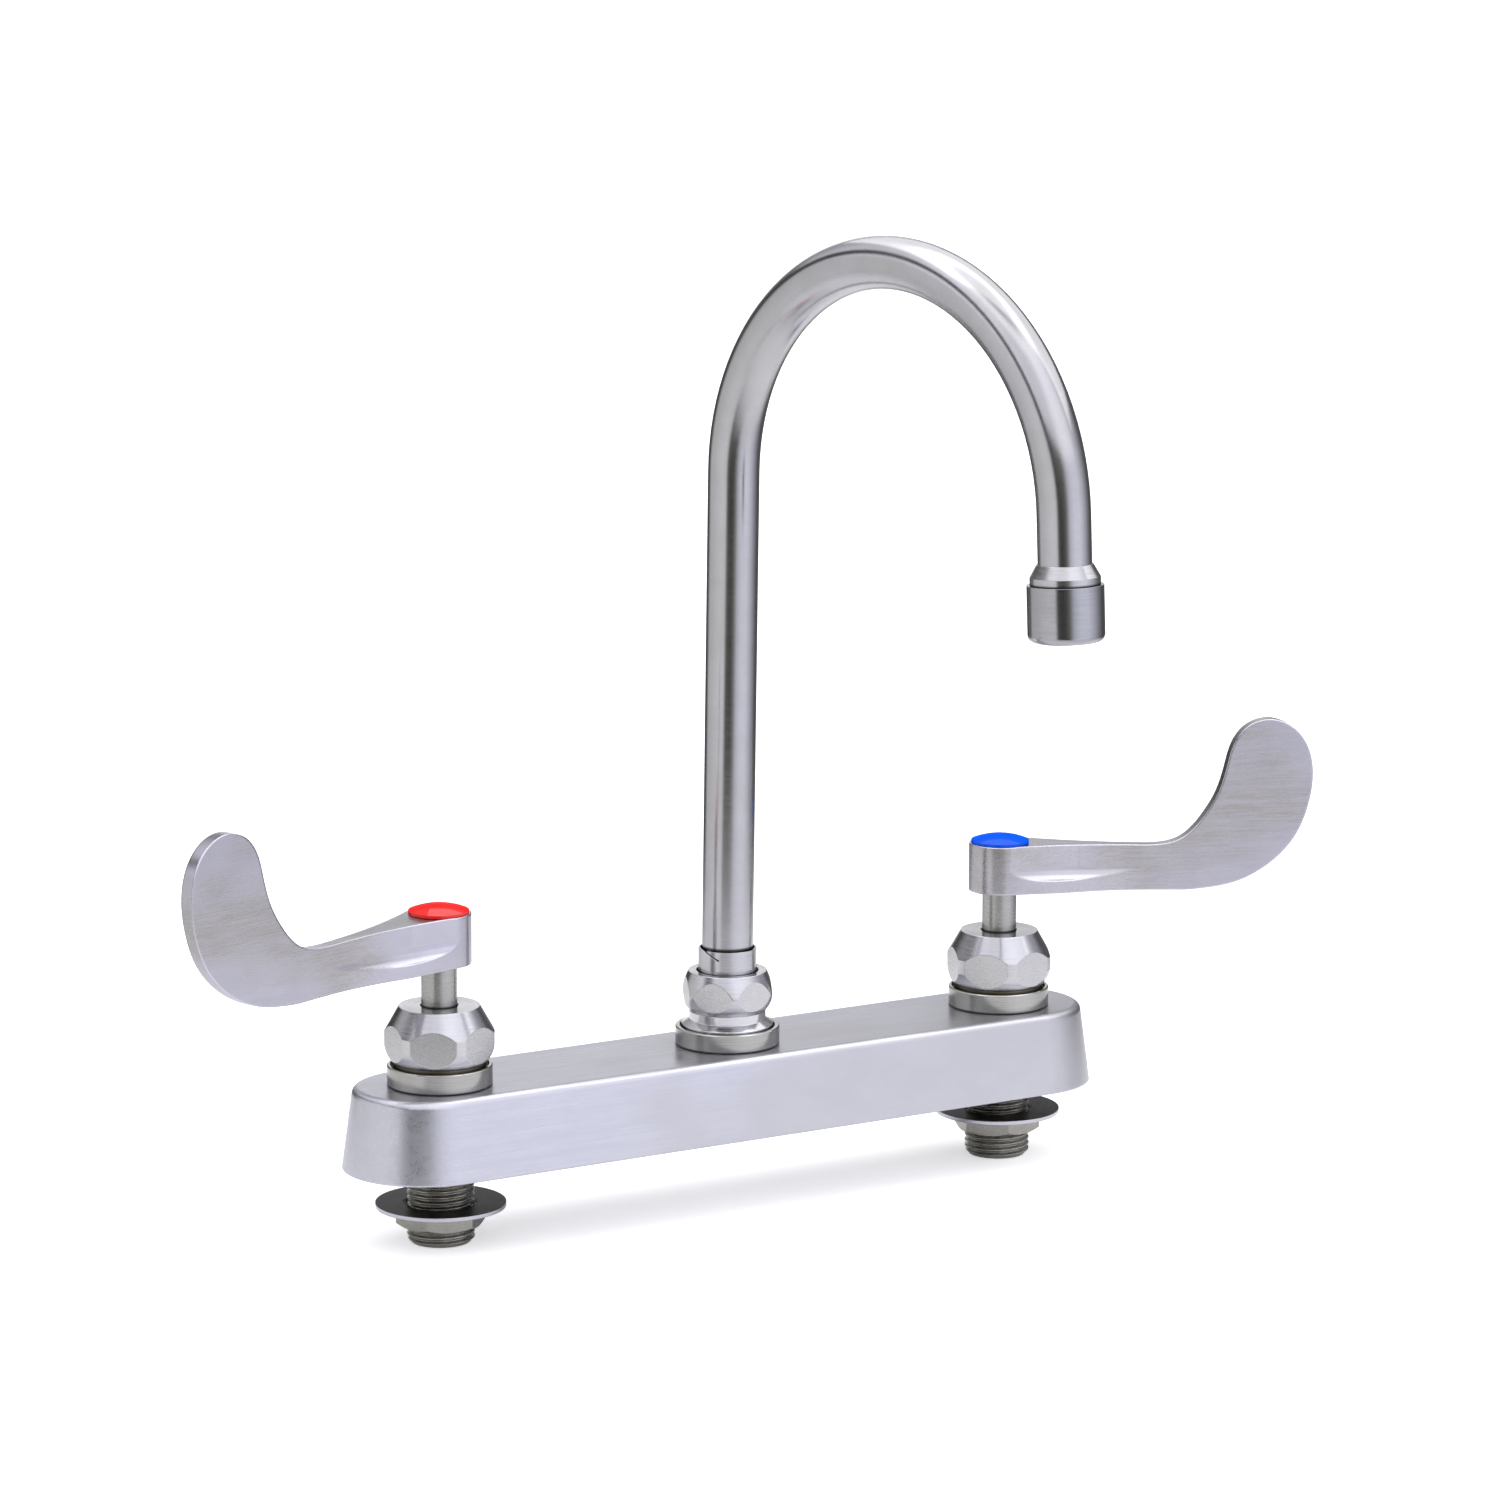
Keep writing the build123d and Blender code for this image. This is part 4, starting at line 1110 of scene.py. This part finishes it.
@dataclass
class Studio:
    """Camera, light tent, softbox and floor. A rise is the upward part of a direction, from -1 to 1.

    Attributes:
        stand: Where the camera stands, in metres.
        bearing: The view's bearing, in degrees east of +Y.
        dip: How far it looks down, in degrees.
        roll: Its roll, in degrees.
        lens: Focal length, in millimetres on the sensor.
        sensor: Width of the sensor, in millimetres.
        wall_top: Where the tent's wall ends, in degrees over the horizon.
        wall_fade: Rise over which the wall ends, to each side.
        above_tint: Colour of the tent over the wall.
        overhead: Brightness of the tent's top.
        overhead_band: Rises between which the top starts.
        crown: Brightness of the tent straight above.
        crown_band: Rises between which the crown starts.
        top_tint: Colour of the top and the crown.
        gap: The dark gap's plane: its slant towards the camera, to the right and up.
        gap_offset: How far the gap's plane lies off the middle.
        gap_edges: Half the gap's width, where it is dark and where it ends.
        gap_colour: Colour in the gap.
        ground: Brightness that the metal sees below.
        ground_band: Rises between which the ground starts.
        box_place: The softbox's centre to the right, towards the camera and up, in metres.
        box_size: Its size across the view and along it, in metres.
        box_level: Its brightness, where 1 is white.
        box_tint: Its colour.
        floor_gap: Gap under the shanks, in metres.
        floor_reach: Half the floor's size, in metres.
        floor_greys: Its two pale greys.
        floor_glow: White that the camera sees on it, near the object and far from it.
        table: Where the floor that the metal sees starts to fade, and where it is gone, in metres.
        white_band: Where the floor starts to turn white for the camera, and where it is, in metres.
    """

    stand: Point = (-0.8899, -1.4652, 0.4470)
    bearing: float = 31.5
    dip: float = 10.876
    roll: float = 0.179
    lens: float = 135.84
    sensor: float = 36.0
    wall_top: float = 18.0
    wall_fade: float = 0.03
    above_tint: Colour = (1.0, 1.0, 1.08)
    overhead: float = 1.65
    overhead_band: Band = (0.76, 0.88)
    crown: float = 0.6
    crown_band: Band = (0.92, 0.97)
    top_tint: Colour = (1.0, 1.0, 1.04)
    gap: Point = (-0.0835, 0.760, 0.6446)
    gap_offset: float = 0.308
    gap_edges: Band = (0.055, 0.13)
    gap_colour: Colour = (0.07, 0.07, 0.066)
    ground: float = 0.72
    ground_band: Band = (-0.35, -0.8)
    box_place: Point = (0.39, -0.275, 0.62)
    box_size: Band = (1.22, 0.85)
    box_level: float = 1.05
    box_tint: Colour = (1.0, 1.0, 1.03)
    floor_gap: float = 0.0002
    floor_reach: float = 6.0
    floor_greys: Band = (0.90, 0.92)
    floor_glow: Band = (0.5, 1.0)
    table: Band = (0.20, 0.60)
    white_band: Band = (0.2, 1.6)

    def build(self) -> None:
        """Sets up the whole studio."""
        self.set_camera()
        self.light_tent()
        self.hang_softbox()
        self.floor()
        bpy.context.scene.view_settings.view_transform = "Standard"

    def level_axes(self) -> tuple[Point, Point]:
        """The camera's right, and the direction from the object to it, both level."""
        turn = math.radians(self.bearing)
        return (math.cos(turn), -math.sin(turn), 0.0), (-math.sin(turn), -math.cos(turn), 0.0)

    def set_camera(self) -> None:
        """Puts the camera where the photograph was taken from."""
        turn, dip, roll = (math.radians(angle) for angle in (self.bearing, self.dip, self.roll))
        view = Vector((math.sin(turn) * math.cos(dip), math.cos(turn) * math.cos(dip), -math.sin(dip)))
        level = Vector(self.level_axes()[0])
        upright = level.cross(view)
        right = math.cos(roll) * level + math.sin(roll) * upright
        up = math.cos(roll) * upright - math.sin(roll) * level
        pose = Matrix((right, up, -view)).transposed().to_4x4()
        pose.translation = Vector(self.stand)
        data = bpy.data.cameras.new("camera")
        data.lens = self.lens
        data.sensor_width = self.sensor
        data.clip_start = 0.05
        data.clip_end = 50.0
        camera = bpy.data.objects.new("camera", data)
        camera.matrix_world = pose
        bpy.context.scene.collection.objects.link(camera)
        bpy.context.scene.camera = camera

    def light_tent(self) -> None:
        """A white tent with a dark gap, which runs from the camera over the left to the back."""
        world = bpy.data.worlds.new("light_tent")
        bpy.context.scene.world = world
        world.use_nodes = True
        world.node_tree.nodes.clear()
        sheet = NodeSheet(world.node_tree)
        direction = sheet.add("TexCoord").outputs["Generated"]
        right, toward = self.level_axes()
        ahead = sheet.vector("DOT_PRODUCT", direction, toward).outputs["Value"]
        aside = sheet.vector("DOT_PRODUCT", direction, right).outputs["Value"]
        share = sheet.math("MULTIPLY_ADD", sheet.math("ARCTAN2", aside, ahead), 1.0 / math.tau, 0.5)
        wall = self.tent_ramp(sheet, share, [scaled(bank.level, bank.tint) for bank in TENT])
        above = self.tent_ramp(sheet, share, [scaled(bank.above, self.above_tint) for bank in TENT])
        rise = sheet.split(direction)[2]
        edge = math.sin(math.radians(self.wall_top))
        lit = sheet.blend(sheet.remap(rise, (edge - self.wall_fade, edge + self.wall_fade)), wall, above)
        for level, band in ((self.overhead, self.overhead_band), (self.crown, self.crown_band)):
            lit = sheet.blend(sheet.remap(rise, band), lit, scaled(level, self.top_tint))
        near, beside, up = self.gap
        slant = tuple(near * front + beside * side for front, side in zip(toward[:2], right[:2])) + (up,)
        lean = sheet.vector("DOT_PRODUCT", direction, slant).outputs["Value"]
        off = sheet.math("ABSOLUTE", sheet.math("ADD", lean, self.gap_offset))
        lit = sheet.blend(sheet.remap(off, self.gap_edges, (1.0, 0.0)), lit, self.gap_colour)
        lit = sheet.blend(sheet.remap(rise, self.ground_band), lit, scaled(self.ground, WHITE))
        seen = sheet.blend(sheet.add("LightPath").outputs["Is Camera Ray"], lit, WHITE)
        shader = sheet.add("Background")
        sheet.feed(shader.inputs["Color"], seen)
        output = sheet.add("OutputWorld")
        sheet.feed(output.inputs[0], shader.outputs[0])

    def hang_softbox(self) -> None:
        """Hangs a flat soft lamp level over the object."""
        right, toward = (Vector(axis) for axis in self.level_axes())
        aside, ahead, height = self.box_place
        width, depth = self.box_size
        data = bpy.data.lights.new("overhead_softbox", "AREA")
        data.shape = "RECTANGLE"
        data.size = width
        data.size_y = depth
        data.energy = self.box_level * math.pi * width * depth
        data.color = self.box_tint
        lamp = bpy.data.objects.new("overhead_softbox", data)
        lamp.location = right * aside + toward * ahead + Vector((0.0, 0.0, height))
        lamp.rotation_euler = (0.0, 0.0, math.atan2(right.y, right.x))
        lamp.visible_camera = False
        bpy.context.scene.collection.objects.link(lamp)

    @staticmethod
    def tent_ramp(sheet: NodeSheet, share: Value, colours: list[Colour]) -> Socket:
        """Colours of the tent round the object, one for each bank.

        Args:
            sheet: The world's sheet.
            share: The bearing, from 0 to 1 for a full turn.
            colours: The banks' colours, in order.

        Returns:
            The colour at the bearing.
        """
        ramp = sheet.add("ValToRGB")
        sheet.feed(ramp.inputs[0], share)
        marks = ramp.color_ramp.elements
        for number, (bank, colour) in enumerate(zip(TENT, colours)):
            where = bank.bearing / 360.0 + 0.5
            mark = marks[number] if number < 2 else marks.new(where)
            mark.position = where
            mark.color = colour + (1.0,)
        return ramp.outputs[0]

    def floor(self) -> None:
        """A plain pale floor that takes the shadow."""
        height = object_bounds()[0].z - self.floor_gap
        reach = self.floor_reach
        sides = ((-reach, -reach), (reach, -reach), (reach, reach), (-reach, reach))
        floor = mesh_piece("floor", [(x, y, height) for x, y in sides], [(0, 1, 2, 3)])
        floor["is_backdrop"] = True
        made, sheet, shader = blank_material("floor_pale")
        place = sheet.add("TexCoord").outputs["Object"]
        mottle = sheet.noise(place, 3.0, 2.0, 0.5)
        pale = sheet.blend(mottle, *(scaled(grey, WHITE) for grey in self.floor_greys))
        sheet.wire(shader, Base_Color=pale, Roughness=0.8, Emission_Color=WHITE)
        path = sheet.add("LightPath")
        away = sheet.vector("LENGTH", place).outputs["Value"]
        white = sheet.remap(away, self.white_band, self.floor_glow)
        shown = sheet.math("MULTIPLY", path.outputs["Is Camera Ray"], white)
        sheet.feed(shader.inputs["Emission Strength"], shown)
        hidden = sheet.math("MULTIPLY", path.outputs["Is Glossy Ray"], sheet.remap(away, self.table))
        sheet.feed(shader.inputs["Alpha"], sheet.math("SUBTRACT", 1.0, hidden))
        floor.data.materials.append(made)


def main() -> None:
    """Builds every sub-assembly in order."""
    logging.basicConfig(level=logging.INFO, format="%(name)s: %(message)s")
    wardrobe = Wardrobe(EffectGroups())
    BodyCasting(wardrobe).build()
    for side in Side:
        InletShank(wardrobe, side).build()
        Valve(wardrobe, side).build()
        Lever(wardrobe, side).build()
    SpoutFoot(wardrobe).build()
    Gooseneck(wardrobe).build()
    Studio().build()


if __name__ == "__main__":
    main()
